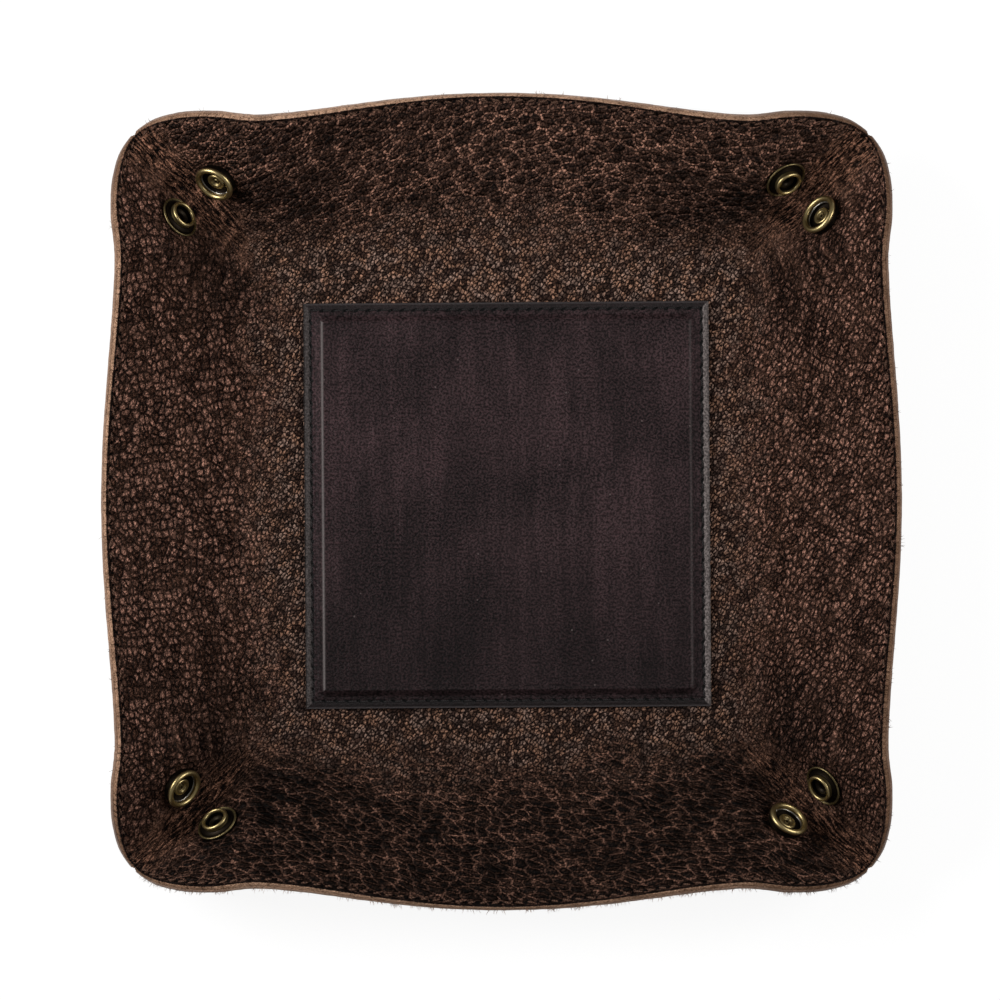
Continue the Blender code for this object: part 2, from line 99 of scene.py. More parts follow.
def eased_ramp(distance, reach):
    """0 before -reach, the distance itself past +reach, and a round bend between."""
    share = np.clip(distance + reach, 0.0, 2.0 * reach) / (2.0 * reach)
    bend = 2.0 * reach * (share**3 - share**4 / 2.0)
    return np.where(distance >= reach, distance, bend)


def rounded_least(first, second):
    """The smaller of two rises past the folds, rounded where they are alike: the corner's valley."""
    total = np.maximum(first + second, 1e-9)
    reach = VALLEY_ROUNDING * total / (VALLEY_ROUNDING + total)
    share = np.clip(0.5 + 0.5 * (second - first) / reach, 0.0, 1.0)
    least = second + (first - second) * share - reach * share * (1.0 - share)
    spread = np.abs(first - second) / (reach * VALLEY_SPREAD_SHARE)
    least = least + reach / 4.0 * (1.0 - eased(spread))
    return np.where(np.minimum(first, second) <= 0.0, 0.0, least)


def diagonal_lift(wall_angle):
    """How steeply the corner's diagonal rises when the walls beside it stand at this angle."""
    along = math.cos(wall_angle)
    across = ROOT_TWO * math.sin(wall_angle)
    return math.atan2(across, along) - math.acos(1.0 / math.hypot(along, across))


CORNER_LIFT = diagonal_lift(CORNER_ANGLE)
FLAP_TURN = diagonal_lift(CORNER_ANGLE + CLOSED_TURN) - CORNER_LIFT


def folded(east, north):
    """Points of the north-east quarter of the blank, on the grain, height from the floor's grain."""
    east_rise = eased_ramp(east - HALF_FLOOR, FOLD_ROUNDING)
    north_rise = eased_ramp(north - HALF_FLOOR, FOLD_ROUNDING)
    shared = rounded_least(east_rise, north_rise)
    east_wall = EAST_WEST_ANGLE + (CORNER_ANGLE - EAST_WEST_ANGLE) * eased(north / HALF_FLOOR)
    north_wall = NORTH_SOUTH_ANGLE + (CORNER_ANGLE - NORTH_SOUTH_ANGLE) * eased(east / HALF_FLOOR)
    east_free = east_rise - shared
    north_free = north_rise - shared
    lift = shared * ROOT_TWO * math.sin(CORNER_LIFT)
    return np.stack((
        east - east_rise + east_free * np.cos(east_wall) + shared * math.cos(CORNER_LIFT),
        north - north_rise + north_free * np.cos(north_wall) + shared * math.cos(CORNER_LIFT),
        east_free * np.sin(east_wall) + north_free * np.sin(north_wall) + lift,
    ), axis=-1)


def snap_seat():
    """The middle and the facing of the flat seat that the snap presses into the leather."""
    middle = folded(np.array([SNAP_ACROSS]), np.array([SNAP_ALONG]))[0]
    squarely = Vector((1.0, -1.0, 0.0)).normalized()
    crease = Matrix.Rotation(FLAP_TURN, 3, CREASE_AXIS)
    fold = Matrix.Rotation(CLOSED_TURN, 3, "X")
    return middle, np.array((fold @ crease).inverted() @ squarely)


SEAT_MIDDLE, SEAT_FACING = snap_seat()


def relaxed(east, north):
    """Points anywhere on the blank, on the grain of the relaxed tray, with the snaps' seats pressed."""
    across, along = np.abs(east), np.abs(north)
    point = folded(across, along)
    mirrored = across > along
    near, far = np.where(mirrored, along, across), np.where(mirrored, across, along)
    seat = np.where(mirrored[:, None], SEAT_MIDDLE[[1, 0, 2]], SEAT_MIDDLE)
    facing = np.where(mirrored[:, None], SEAT_FACING[[1, 0, 2]], SEAT_FACING)
    distance = np.hypot(near - SNAP_ACROSS, far - SNAP_ALONG)
    weight = 1.0 - past(distance, SEAT_RADIUS, SEAT_FADE)
    weight = weight * eased((far - near) / ROOT_TWO / SEAT_VALLEY_FADE)
    over = np.sum((point - seat) * facing, axis=1) * weight
    point = point - facing * over[:, None]
    east_sign, north_sign = np.where(east < 0.0, -1.0, 1.0), np.where(north < 0.0, -1.0, 1.0)
    return point * np.stack((east_sign, north_sign, np.ones_like(east)), axis=1)


def laid(east, north, depth):
    """The same points this deep under the grain, with the tray's underside at height 0."""
    point = relaxed(east, north)
    eastward = relaxed(east + NORMAL_STEP, north) - point
    northward = relaxed(east, north + NORMAL_STEP) - point
    normal = np.cross(eastward, northward)
    normal = normal / np.linalg.norm(normal, axis=1)[:, None]
    return point - normal * np.asarray(depth).reshape(-1, 1) + (0.0, 0.0, STACK)


def turned(east, north, number):
    """Flat coordinates for the wall of this number: the walls follow clockwise from the north."""
    for _ in range(number):
        east, north = north, -east
    return east, north


# The pebbled grain. The top leather is a waxed full-grain hide, 1.8 mm thick, with small pebbles on
# the floor, larger ones on the walls and fine wrinkles drawn out beside the pinched corners. Folds
# and long ridges are in the mesh; pebbles are in the material, placed by coordinates kept here.
LATTICE = 211
WANDER = 0.0008
WANDER_WAVE = 0.006
WALLS_APART = 37.0
CORNERS_APART = 31.0
FINE_PEBBLE = (0.00155, 0.00095)
FINE_PEBBLE_TURN = math.radians(58.0)
STREAK = (0.0150, 0.0030)
STREAK_RELIEF = 0.00038
PLEAT = (0.0120, 0.0026)
PLEAT_RELIEF = 0.00045
PLEAT_WANDER = 0.0022
DRAWN_WRINKLE = (0.0034, 0.00085)
DRAWN_WANDER = 0.0010
DRAWN_WANDER_WAVE = (0.009, 0.004)
PATCH = (0.007, 0.004)
WALL_FADE = 0.024
DIAGONAL_STRIP = (0.0015, 0.011)
DIAGONAL_FROM = (0.066, 0.018)
PLEATS_FROM = (0.050, 0.022)
PLEATS_PAST_FOLD = (0.068, 0.010)
PLEATS_TO = (0.104, 0.014)
SEAT_EDGE = (0.0055, 0.0018)
PANEL_EDGE_FADE = 0.0008
# The next three paint light and shade into the grain's colour: lighter to the north and darker to the
# south, a painted falling-off of the lamps' light, and painted shade in the pleats' grooves and in the
# hollows beside the corners.
PAINTED_FALLOFF = 2.0
PLEAT_PAINTED_SHADE = 0.55
HOLLOW_PAINTED_SHADE = 0.42
HOLLOW_MIDDLE = 0.089
HOLLOW_WIDTH = 0.011
HOLLOW_FROM = (0.036, 0.024)
# Each wall's darkening of its colour is partly the hide's own tone and partly painted light and shade,
# set to how the lamps light that wall.
WALL_PEBBLES = {
    "north": {"length": 0.0042, "width": 0.0025, "slope": 0.36, "skew": 0.0, "bend": 2.2, "pale": 0.90,
              "streaks": 1.0, "tone_and_shade": 0.42, "cover": 0.95, "reach": 0.007},
    "east": {"length": 0.0030, "width": 0.0018, "slope": -0.58, "skew": 0.0, "bend": 0.0, "pale": 0.0,
             "streaks": 0.5, "tone_and_shade": 0.92, "cover": 0.92, "reach": 0.012},
    "south": {"length": 0.0039, "width": 0.0023, "slope": 0.05, "skew": 0.95, "bend": -0.6, "pale": 1.0,
              "streaks": 0.6, "tone_and_shade": 0.37, "cover": 0.98, "reach": 0.011},
    "west": {"length": 0.0025, "width": 0.0021, "slope": 0.15, "skew": 0.0, "bend": 0.0, "pale": 0.0,
             "streaks": 0.4, "tone_and_shade": 0.96, "cover": 0.92, "reach": 0.014},
}
BARE_PANEL_HALF = 0.0600
SEAM_INSET = 0.0014
SEAM_WIDTH = 0.00042
SEAM_DEPTH = 0.00030
RIM_STRAIGHT = HALF_BLANK - CORNER_RADIUS
RIM_LENGTH = 2.0 * HALF_FLOOR + 2.0 * (RIM_STRAIGHT - HALF_FLOOR + CORNER_RADIUS * math.pi / 4.0)
STITCHES_PER_SIDE = 65
STITCH_PITCH = RIM_LENGTH / STITCHES_PER_SIDE


def drift(across, along, seed):
    """Soft random waves from -1 to 1, one unit long."""
    values = np.random.default_rng(seed).random((LATTICE, LATTICE)) * 2.0 - 1.0
    column, row = np.floor(across).astype(int), np.floor(along).astype(int)
    right, up = eased(across - column), eased(along - row)
    corner = [[values[(column + i) % LATTICE, (row + j) % LATTICE] for j in (0, 1)] for i in (0, 1)]
    lower = corner[0][0] + (corner[1][0] - corner[0][0]) * right
    upper = corner[0][1] + (corner[1][1] - corner[0][1]) * right
    return lower + (upper - lower) * up


def ridged(across, along, seed):
    """Long crests one unit apart that fade in and out, 0 to 1."""
    first = 1.0 - np.abs(drift(across, along, seed)) * 2.0
    second = 1.0 - np.abs(drift(across * 1.7, along * 1.9, seed + 1)) * 2.0
    return np.clip(first, 0.0, 1.0) ** 2 * 0.7 + np.clip(second, 0.0, 1.0) ** 2 * 0.3


def bell(distance, width):
    """1 at no distance, fading away within about two widths."""
    return np.exp(-((distance / width) ** 2))


def grain(east, north):
    """Relief of folds and ridges in metres; the places of wall pebbles and of wrinkles in units of one;
    the shares of wall pebbles, wrinkles and pale creases; and crests, the colour's darkening by each
    wall's tone and by painted light and shade, and grain at all."""
    across, along = np.abs(east), np.abs(north)
    farthest, least = np.maximum(across, along), np.minimum(across, along)
    steps = east / WANDER_WAVE, north / WANDER_WAVE
    east_warp = east + WANDER * drift(steps[0], steps[1], 11)
    north_warp = north + WANDER * drift(steps[0], steps[1], 12)

    pebble = np.zeros((len(east), 3))
    streak, pale, reach = np.zeros((3, len(east)))
    tone_and_shade, cover = np.ones((2, len(east)))
    for number, wall in enumerate(WALLS):
        own = WALL_PEBBLES[wall]
        side = (north, east, -north, -east)[number]
        mine = (side >= across) & (side >= along)
        run, rise = turned(east_warp[mine], north_warp[mine], -number % 4)
        down_run = run + own["slope"] * rise
        down_rise = rise - own["slope"] * run + own["bend"] * run * run
        pebble[mine, 0] = (down_run + own["skew"] * rise) / own["length"] + WALLS_APART * number
        pebble[mine, 1] = down_rise / own["width"]
        crests = ridged(down_run / STREAK[0], down_rise / STREAK[1], 17 + number)
        streak[mine] = crests * own["streaks"]
        for values, key in ((pale, "pale"), (tone_and_shade, "tone_and_shade"), (cover, "cover"), (reach, "reach")):
            values[mine] = own[key]

    corner = CORNERS_APART * (np.sign(east) + 2.0 * np.sign(north))
    down = (across + along) / ROOT_TWO
    beside = (across - along) / ROOT_TWO
    wander = drift(down / DRAWN_WANDER_WAVE[0] + corner, beside / DRAWN_WANDER_WAVE[1], 19)
    drawn = np.stack((
        down / DRAWN_WRINKLE[0] + corner,
        (beside + DRAWN_WANDER * wander) / DRAWN_WRINKLE[1],
        np.zeros_like(east),
    ), axis=1)
    round_out = (across**4 + along**4) ** 0.25
    round_out = round_out + PLEAT_WANDER * drift(steps[0] / 1.4, steps[1] / 1.4, 27)
    bearing = np.arctan2(along, across) * HALF_FLOOR
    pleat = ridged(bearing / PLEAT[0] + corner, round_out / PLEAT[1], 29)

    patch = PATCH[0] * drift(steps[0] / 2.5, steps[1] / 2.5, 31) + PATCH[1] * drift(*steps, 33)
    on_wall = past(farthest + patch, HALF_FLOOR - reach, WALL_FADE)
    to_diagonal = 1.0 - past(np.abs(beside) + patch / 3.0, *DIAGONAL_STRIP)
    to_diagonal = to_diagonal * past(least + patch / 2.0, *DIAGONAL_FROM)
    off_diagonal = 1.0 - to_diagonal
    pleat_share = past(least, *PLEATS_FROM) * (1.0 - past(farthest, *PLEATS_TO))
    pleat_share = pleat_share * past(farthest, *PLEATS_PAST_FOLD)
    near = np.where(across > along, along, across)
    seat = np.hypot(near - SNAP_ACROSS, farthest - SNAP_ALONG)
    shown = past(seat, *SEAT_EDGE)

    height = STREAK_RELIEF * streak * on_wall * off_diagonal + PLEAT_RELIEF * pleat * pleat_share
    height = height * shown * past(farthest, BARE_PANEL_HALF, PANEL_EDGE_FADE)
    # Each wall's darkening, then painted light falling off from north to south, then painted shade in the
    # pleats' grooves and in the hollows beside the corners.
    tone_and_shade = (1.0 + (tone_and_shade - 1.0) * on_wall * off_diagonal) * (1.0 + PAINTED_FALLOFF * north)
    tone_and_shade = tone_and_shade * (1.0 - PLEAT_PAINTED_SHADE * np.clip(1.0 - 2.5 * pleat, 0.0, 1.0) * pleat_share)
    hollow = bell(farthest + patch - HOLLOW_MIDDLE, HOLLOW_WIDTH) * past(least, *HOLLOW_FROM)
    tone_and_shade = tone_and_shade * (1.0 - HOLLOW_PAINTED_SHADE * hollow * off_diagonal)
    crest = np.maximum(streak * on_wall * off_diagonal, pleat * pleat_share)
    shares = np.stack((on_wall * cover * off_diagonal, to_diagonal, pale), axis=1)
    return height, pebble, drawn, shares, np.stack((crest, tone_and_shade, shown), axis=1)


def rim_place(arc):
    """A point of the blank's edge and its outward direction, this far along from the middle of the
    north side: straight, then round the corner."""
    angle = math.pi / 2.0 - np.maximum(arc - RIM_STRAIGHT, 0.0) / CORNER_RADIUS
    outward = np.stack((np.cos(angle), np.sin(angle)), axis=-1)
    east = np.minimum(arc, RIM_STRAIGHT) + CORNER_RADIUS * outward[..., 0]
    return east, RIM_STRAIGHT + CORNER_RADIUS * outward[..., 1], outward


def seam_dip(arc, inset):
    """How deep the seam's thread draws the leather down: deepest at each hole."""
    pull = 0.5 + 0.5 * np.cos(math.pi * arc / STITCH_PITCH) ** 2
    return SEAM_DEPTH * pull * bell(inset - SEAM_INSET, SEAM_WIDTH)


# The grain sheets. The hide is one cut blank, but to fold it is laid out as the floor, four walls and
# two flaps at each corner. Its rim is cut square and only a little rounded, and beside the corners'
# diagonals its lower part is skived away, so that a corner can be pressed flat.
GRAIN_LEATHER = 0.0018
GLUE_LINE = 0.00006
BACKING_LEATHER = STACK - GRAIN_LEATHER - GLUE_LINE
GRAIN_STEP = 0.00050
RIM_ROUND = 0.00016
RIM_ROWS = (0.0, 0.10, 0.24, 0.42, 0.64, 0.86, 1.04, 1.18, 1.30, 1.42, 1.56, 1.74, 1.98, 2.30, 2.70)
RIM_FALL = 0.0003
GRAIN_LAYER = (GRAIN_STEP, RIM_ROWS, 0.0, GRAIN_LEATHER, True)
PLAIN_BY_SEAM = 0.0015
AT_RIM = 0.9999
SURFACE = 0.001
FRAYS = ((0.00005, 0.0005, 9.0, 41), (0.00008, 0.003, 3.0, 43))
FRAYED_FROM = 0.1
NAP = (0.00004, 0.0009)
FLAP_REACH = CORNER_RADIUS - 0.0001
GATHERED_FROM = 0.010
SKIVED_FROM = 0.0006
SKIVED_SLOPE = math.tan(math.radians(20.0))
SKIVED_ROWS = 4.0
SIDE_CUTS = 4
SHARP_TURN = 1.0


def rim_rows(depth_of_panel, step, close_rows):
    """Distances of a sheet's rows from the rim, from the fold side to the rim."""
    near = [RIM_ROUND + row / 1000.0 for row in close_rows]
    count = round((depth_of_panel - near[-1]) / step)
    far = np.linspace(near[-1], depth_of_panel, count + 1)[1:]
    return np.concatenate((near, far))[::-1]


def thickened(sheet, rise):
    """Gives a flat mesh its second face, this far up, and joins the two round the edge."""
    raised = bmesh.ops.extrude_face_region(sheet, geom=sheet.faces[:])
    upper = [item for item in raised["geom"] if isinstance(item, bmesh.types.BMVert)]
    bmesh.ops.translate(sheet, verts=upper, vec=(0.0, 0.0, rise))
    bmesh.ops.recalc_face_normals(sheet, faces=sheet.faces)


def unit_sheet(columns, rows, side_cuts, soft_rim):
    """A closed unit sheet, 1 wide, 1 long and 1 thick, its grain side at height 1."""
    sheet = bmesh.new()
    bmesh.ops.create_grid(sheet, x_segments=columns, y_segments=rows, size=0.5)
    bmesh.ops.translate(sheet, verts=sheet.verts, vec=(0.5, 0.5, 0.0))
    thickened(sheet, 1.0)
    upright = []
    for edge in sheet.edges:
        first, second = edge.verts
        if len(edge.link_faces) == 2 and edge.calc_face_angle(0.0) > SHARP_TURN:
            at_rim = min(first.co.y, second.co.y) > AT_RIM and first.co.z > 0.5
            edge.smooth = at_rim and soft_rim and second.co.z > 0.5
        if first.co.z != second.co.z:
            upright.append(edge)
    if side_cuts:
        bmesh.ops.subdivide_edges(sheet, edges=upright, cuts=side_cuts)
    return sheet


def new_piece(name, mesh):
    """The finished mesh as an object of the scene."""
    data = bpy.data.meshes.new(name)
    mesh.to_mesh(data)
    mesh.free()
    data.shade_smooth()
    piece = bpy.data.objects.new(name, data)
    bpy.context.scene.collection.objects.link(piece)
    return piece


def sheet_piece(name, sheet):
    """The mesh as an object, with its vertices as an array of shares."""
    piece = new_piece(name, sheet)
    shares = np.zeros(len(piece.data.vertices) * 3, np.float32)
    piece.data.vertices.foreach_get("co", shares)
    return piece, shares.reshape(-1, 3).astype(float)


def set_points(piece, points, mirrored=False):
    piece.data.vertices.foreach_set("co", points.astype(np.float32).ravel())
    if mirrored:
        piece.data.flip_normals()
    piece.data.update()


def mark(piece, name, values):
    """Keeps a number or a vector for each vertex, which the material reads."""
    kind, field = ("FLOAT_VECTOR", "vector") if values.ndim == 2 else ("FLOAT", "value")
    kept = piece.data.attributes.new(name, kind, "POINT")
    kept.data.foreach_set(field, values.astype(np.float32).ravel())


def mark_place(piece, east, north, depth):
    """Keeps where each vertex lies on the flat hide, and how deep in it."""
    mark(piece, "flat", np.stack((east, north, depth), axis=1))


def mark_grain(piece, east, north):
    """Keeps the grain's places and shares for the material, and gives the relief for the mesh."""
    height, *kept = grain(east, north)
    for name, values in zip(("pebble", "drawn", "shares", "crests_shade_and_seat"), kept):
        mark(piece, name, values)
    return height


def flap_spot(arc, inset):
    """Flat coordinates of a point of the north wall's east flap, this far along the rim and this far
    in from it. Deep inside, the lines run together at the corner of the floor."""
    east, north, outward = rim_place(arc)
    inset_share = eased((inset - GATHERED_FROM) / (CORNER_RADIUS - GATHERED_FROM))
    gathered = np.minimum(arc - HALF_FLOOR, RIM_STRAIGHT - HALF_FLOOR)
    east = east - outward[..., 0] * inset - gathered * inset_share
    north = north - outward[..., 1] * inset - (RIM_STRAIGHT - HALF_FLOOR) * inset_share
    return east, north


def lay_sheet(name, number, side, layer):
    """Lays one layer of a wall (side 0) or of its flap (side 1 or -1) on the form, and marks it for
    its material. A layer is a step, the rows at the rim, how deep its upper face lies, a thickness,
    and whether it is the grain."""
    step, close_rows, upper_depth, thickness, grained = layer
    arc_length = RIM_LENGTH / 2.0 - HALF_FLOOR if side else 2.0 * HALF_FLOOR
    insets = rim_rows(FLAP_REACH if side else HALF_BLANK - HALF_FLOOR, step, close_rows)
    last_row = len(insets) - 1
    piece, shares = sheet_piece(name, unit_sheet(round(arc_length / step), last_row, SIDE_CUTS, True))
    under = 1.0 - shares[:, 2]
    depth = upper_depth + under * thickness
    arc = HALF_FLOOR + shares[:, 0] * arc_length if side else (2.0 * shares[:, 0] - 1.0) * HALF_FLOOR
    frayed = sum(deep * drift(arc / wave, under * plies, seed) for deep, wave, plies, seed in FRAYS)
    round_edge = RIM_ROUND * (2.0 * under - 1.0) ** 4 - frayed * (under > FRAYED_FROM)
    inset = insets[np.rint(shares[:, 1] * last_row).astype(int)]
    inset = np.where(shares[:, 1] > AT_RIM, round_edge, inset)
    if side:
        east, north = flap_spot(arc, inset)
        skived = np.maximum(depth - SKIVED_FROM, 0.0) * SKIVED_SLOPE
        skived = skived * np.clip(shares[:, 1] * SKIVED_ROWS, 0.0, 1.0)
        shift = np.maximum(skived - (north - east) / ROOT_TWO, 0.0) / ROOT_TWO
        east, north = turned(side * (east - shift), north + shift, number)
    else:
        east, north = turned(arc, HALF_BLANK - inset, number)
    if grained:
        surface = under < SURFACE
        lowered = seam_dip(arc, inset) + RIM_ROUND * np.exp(-inset / RIM_FALL)
        height = mark_grain(piece, east, north) * past(inset, SEAM_INSET, PLAIN_BY_SEAM)
        depth = np.where(surface, depth - height + lowered, depth)
        mark(piece, "cut", np.where(surface, np.exp(-inset / RIM_ROUND), 1.0))
        mark(piece, "rim", np.stack((arc, inset, under), axis=1))
    else:
        nap = NAP[0] * drift(east / NAP[1], north / NAP[1], 45)
        depth = depth + nap * (under > 1.0 - SURFACE)
    set_points(piece, laid(east, north, depth), side < 0.0)
    mark_place(piece, east, north, depth)
    return piece


def follow_wall(piece):
    """Bakes the placement of a wall's piece into its mesh."""
    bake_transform(piece)


def follow_flap(piece):
    """Bakes the placement of a flap's piece into its mesh."""
    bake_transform(piece)


def put(tree, kind, inputs, **settings):
    """A shader node with its inputs set to values or joined to other nodes' outputs."""
    made = tree.nodes.new(kind)
    for name, value in settings.items():
        setattr(made, name, value)
    for name, value in inputs.items():
        if isinstance(value, bpy.types.NodeSocket):
            tree.links.new(value, made.inputs[name])
        elif made.inputs[name].type == "RGBA":
            made.inputs[name].default_value = (*value, 1.0)
        else:
            made.inputs[name].default_value = value
    return made


def blended_colour(tree, share, first, second):
    """A colour between two others, each of them three numbers or a node's output."""
    made = put(tree, "ShaderNodeMix", {0: share, 6: first, 7: second}, data_type="RGBA")
    return made.outputs[2]


def scaled(tree, value, low, high, out_low=0.0, out_high=1.0):
    """The value from low to high, taken softly to the range of the other two."""
    made = put(tree, "ShaderNodeMapRange", {
        "Value": value, "From Min": low, "From Max": high, "To Min": out_low, "To Max": out_high,
    }, interpolation_type="SMOOTHSTEP")
    return made.outputs["Result"]


def combined(tree, how, *values):
    return put(tree, "ShaderNodeMath", dict(enumerate(values)), operation=how).outputs[0]


def times(tree, first, *others):
    for other in others:
        first = combined(tree, "MULTIPLY", first, other)
    return first


def dimmed(tree, colour, by):
    made = put(tree, "ShaderNodeVectorMath", {0: colour, "Scale": by}, operation="SCALE")
    return made.outputs[0]


def stretched(tree, place, by):
    return put(tree, "ShaderNodeVectorMath", {0: place, 1: by}, operation="MULTIPLY").outputs[0]


def noise(tree, place, size, detail=2.0, roughness=0.5):
    """Soft noise with waves of this size."""
    made = put(tree, "ShaderNodeTexNoise", {
        "Vector": place, "Scale": 1.0 / size, "Detail": detail, "Roughness": roughness,
    })
    return made.outputs["Fac"]


def placed(tree, group, inputs):
    return put(tree, "ShaderNodeGroup", inputs, node_tree=group).outputs


def axes(tree, vector):
    return put(tree, "ShaderNodeSeparateXYZ", {0: vector}).outputs


def attribute(tree, name, output="Vector"):
    return put(tree, "ShaderNodeAttribute", {}, attribute_name=name).outputs[output]


def object_place(tree):
    return put(tree, "ShaderNodeTexCoord", {}).outputs["Object"]


def new_material(name):
    material = bpy.data.materials.new(name)
    material.use_nodes = True
    return material, material.node_tree, material.node_tree.nodes["Principled BSDF"]


def finish(tree, shader, surface, relief=None):
    """Joins a surface's values to its shader, and its relief: height, strength and how deep."""
    if relief:
        bump = put(tree, "ShaderNodeBump", dict(zip(("Height", "Strength", "Distance"), relief)))
        surface["Normal"] = bump.outputs["Normal"]
    for name, value in surface.items():
        if isinstance(value, bpy.types.NodeSocket):
            tree.links.new(value, shader.inputs[name])
        else:
            shader.inputs[name].default_value = value


def new_group(name, inputs, outputs):
    """A shader node group with these sockets: inputs with a kind and a first value, outputs with a
    kind. Its last value joins the results, given by name, to the outputs."""
    group = bpy.data.node_groups.new(name, "ShaderNodeTree")
    for socket_name, (kind, value) in inputs.items():
        socket = group.interface.new_socket(socket_name, in_out="INPUT", socket_type=f"NodeSocket{kind}")
        if value is not None:
            socket.default_value = (*value, 1.0) if kind == "Color" else value
    for socket_name, kind in outputs.items():
        group.interface.new_socket(socket_name, in_out="OUTPUT", socket_type=f"NodeSocket{kind}")
    result = group.nodes.new("NodeGroupOutput").inputs

    def give(values):
        for socket_name, value in values.items():
            group.links.new(value, result[socket_name])
        return group

    return group, group.nodes.new("NodeGroupInput").outputs, give


def raw_edge_group():
    """Cut and flesh faces of tanned leather: tan fibres in thin layers, darker where they lie deep and
    towards the corners. The east side is painted darker, a painted shade, and the north and south are
    painted palest, a painted light."""
    group, given, give = new_group("raw leather fibres", {
        "Flat Place": ("Vector", None),
        "Light Fibre": ("Color", (0.60, 0.365, 0.240)),
        "Dark Fibre": ("Color", (0.10, 0.050, 0.027)),
    }, {"Colour": "Color", "Height": "Float"})
    place = given["Flat Place"]
    strands = noise(group, stretched(group, place, (1.0, 1.0, 3.0)), 0.0006, 3.0, 0.65)
    clouds = noise(group, place, 0.006)
    ways = axes(group, place)
    eastward, northward = ways["X"], combined(group, "ABSOLUTE", ways["Y"])
    nearest = combined(group, "MINIMUM", combined(group, "ABSOLUTE", eastward), northward)
    # Painted shade at the east side and painted light at the north and south, with darker fibres towards
    # the corners.
    share = times(
        group, scaled(group, strands, 0.34, 0.64), scaled(group, clouds, 0.2, 0.7, 0.35, 1.0),
        scaled(group, eastward, -0.06, 0.11, 1.0, 0.50), scaled(group, northward, 0.100, 0.122, 1.0, 1.9),
        scaled(group, nearest, 0.068, 0.102, 1.0, 0.32),
    )
    colour = blended_colour(group, share, given["Dark Fibre"], given["Light Fibre"])
    return give({"Colour": colour, "Height": strands})


def mottled_hide_group():
    """Uneven dye and wax of a finished hide: broad soft clouds with finer flecks in them."""
    group, given, give = new_group("mottled hide", {
        "Flat Place": ("Vector", None),
        "Cloud Scale": ("Float", 60.0),
        "Fleck Scale": ("Float", 2400.0),
        "Deep": ("Color", (0.02, 0.01, 0.01)),
        "Pale": ("Color", (0.06, 0.03, 0.02)),
    }, {"Colour": "Color", "Fleck": "Float"})
    waves = [
        put(group, "ShaderNodeTexNoise", {
            "Vector": given["Flat Place"], "Scale": given[scale], "Detail": detail, "Roughness": 0.6,
        }).outputs["Fac"] for scale, detail in (("Cloud Scale", 4.0), ("Fleck Scale", 2.0))
    ]
    cloud = scaled(group, waves[0], 0.30, 0.70)
    fleck = scaled(group, waves[1], 0.32, 0.68)
    share = combined(group, "ADD", times(group, cloud, 0.45), times(group, fleck, 0.55))
    return give({"Colour": blended_colour(group, share, given["Deep"], given["Pale"]), "Fleck": fleck})


def pebble_group():
    """Pebbles about one unit across: round domes between creases, with a broad band at the crease
    and a tone for each pebble."""
    group, given, give = new_group("pebbles", {
        "Place": ("Vector", None), "Ragged": ("Float", 0.5), "Line Width": ("Float", 0.13),
    }, {"Dome": "Float", "Crease": "Float", "Band": "Float", "Tone": "Float"})
    waves = put(group, "ShaderNodeTexNoise", {
        "Vector": given["Place"], "Scale": 1.5, "Detail": 3.0, "Roughness": 0.6,
    }).outputs["Color"]
    centred = put(group, "ShaderNodeVectorMath", {0: waves, 1: (0.5, 0.5, 0.5)}, operation="SUBTRACT")
    pushed = dimmed(group, centred.outputs[0], given["Ragged"])
    place = put(group, "ShaderNodeVectorMath", {0: given["Place"], 1: pushed}, operation="ADD").outputs[0]
    cell, border = (
        put(group, "ShaderNodeTexVoronoi", {"Vector": place, "Scale": 1.0, "Randomness": 0.9},
            voronoi_dimensions="2D", feature=feature).outputs for feature in ("F1", "DISTANCE_TO_EDGE")
    )
    edge = border["Distance"]
    crown = scaled(group, cell["Distance"], 0.0, 0.8, 1.0, 0.45)
    return give({
        "Dome": times(group, scaled(group, edge, 0.0, 0.24), crown),
        "Crease": scaled(group, edge, 0.015, given["Line Width"], 1.0, 0.0),
        "Band": scaled(group, edge, 0.03, 0.24, 1.0, 0.0),
        "Tone": put(group, "ShaderNodeSeparateColor", {0: cell["Color"]}).outputs[0],
    })


def needle_hole_group():
    """Holes of a seam's needle, from the distances along and across the seam to the nearest one."""
    group, given, give = new_group("needle holes", {
        "Along": ("Float", 0.0), "Aside": ("Float", 0.0),
        "Bottom": ("Float", 0.00030), "Lip": ("Float", 0.00052),
    }, {"Hole": "Float"})
    spot = put(group, "ShaderNodeCombineXYZ", {"X": given["Along"], "Y": given["Aside"]}).outputs[0]
    away = put(group, "ShaderNodeVectorMath", {0: spot}, operation="LENGTH").outputs["Value"]
    return give({"Hole": scaled(group, away, given["Bottom"], given["Lip"], 1.0, 0.0)})


RAW_EDGE = raw_edge_group()
MOTTLED_HIDE = mottled_hide_group()
PEBBLES = pebble_group()
NEEDLE_HOLES = needle_hole_group()

# Among these colours, the floor's tan tops, the lit pebble tops and the crest colour are painted
# highlights, and the two crease colours are painted shade together with the wax in the creases.
WAX = ((0.014, 0.0065, 0.0048), (0.105, 0.048, 0.031))
FLOOR_TOP_SHEEN = ((0.265, 0.140, 0.090), (0.225, 0.144, 0.112))
FLOOR_WAX = (0.012, 0.0055, 0.0042)
FLOOR_CREASE = (0.003, 0.0014, 0.0011)
BLACK_PEBBLE = ((0.0030, 0.0013, 0.0010), (0.0002, 0.0001, 0.0001))
BROKEN_WAX = (0.420, 0.212, 0.146)
LIT_PEBBLE = (0.305, 0.154, 0.110)
DARK_CREASE = (0.005, 0.0016, 0.0011)
DRAWN = ((0.0030, 0.0012, 0.0009), (0.370, 0.178, 0.112))
CREST_HIGHLIGHT = (0.150, 0.076, 0.050)
DARK_RIM = (0.004, 0.0025, 0.0022)
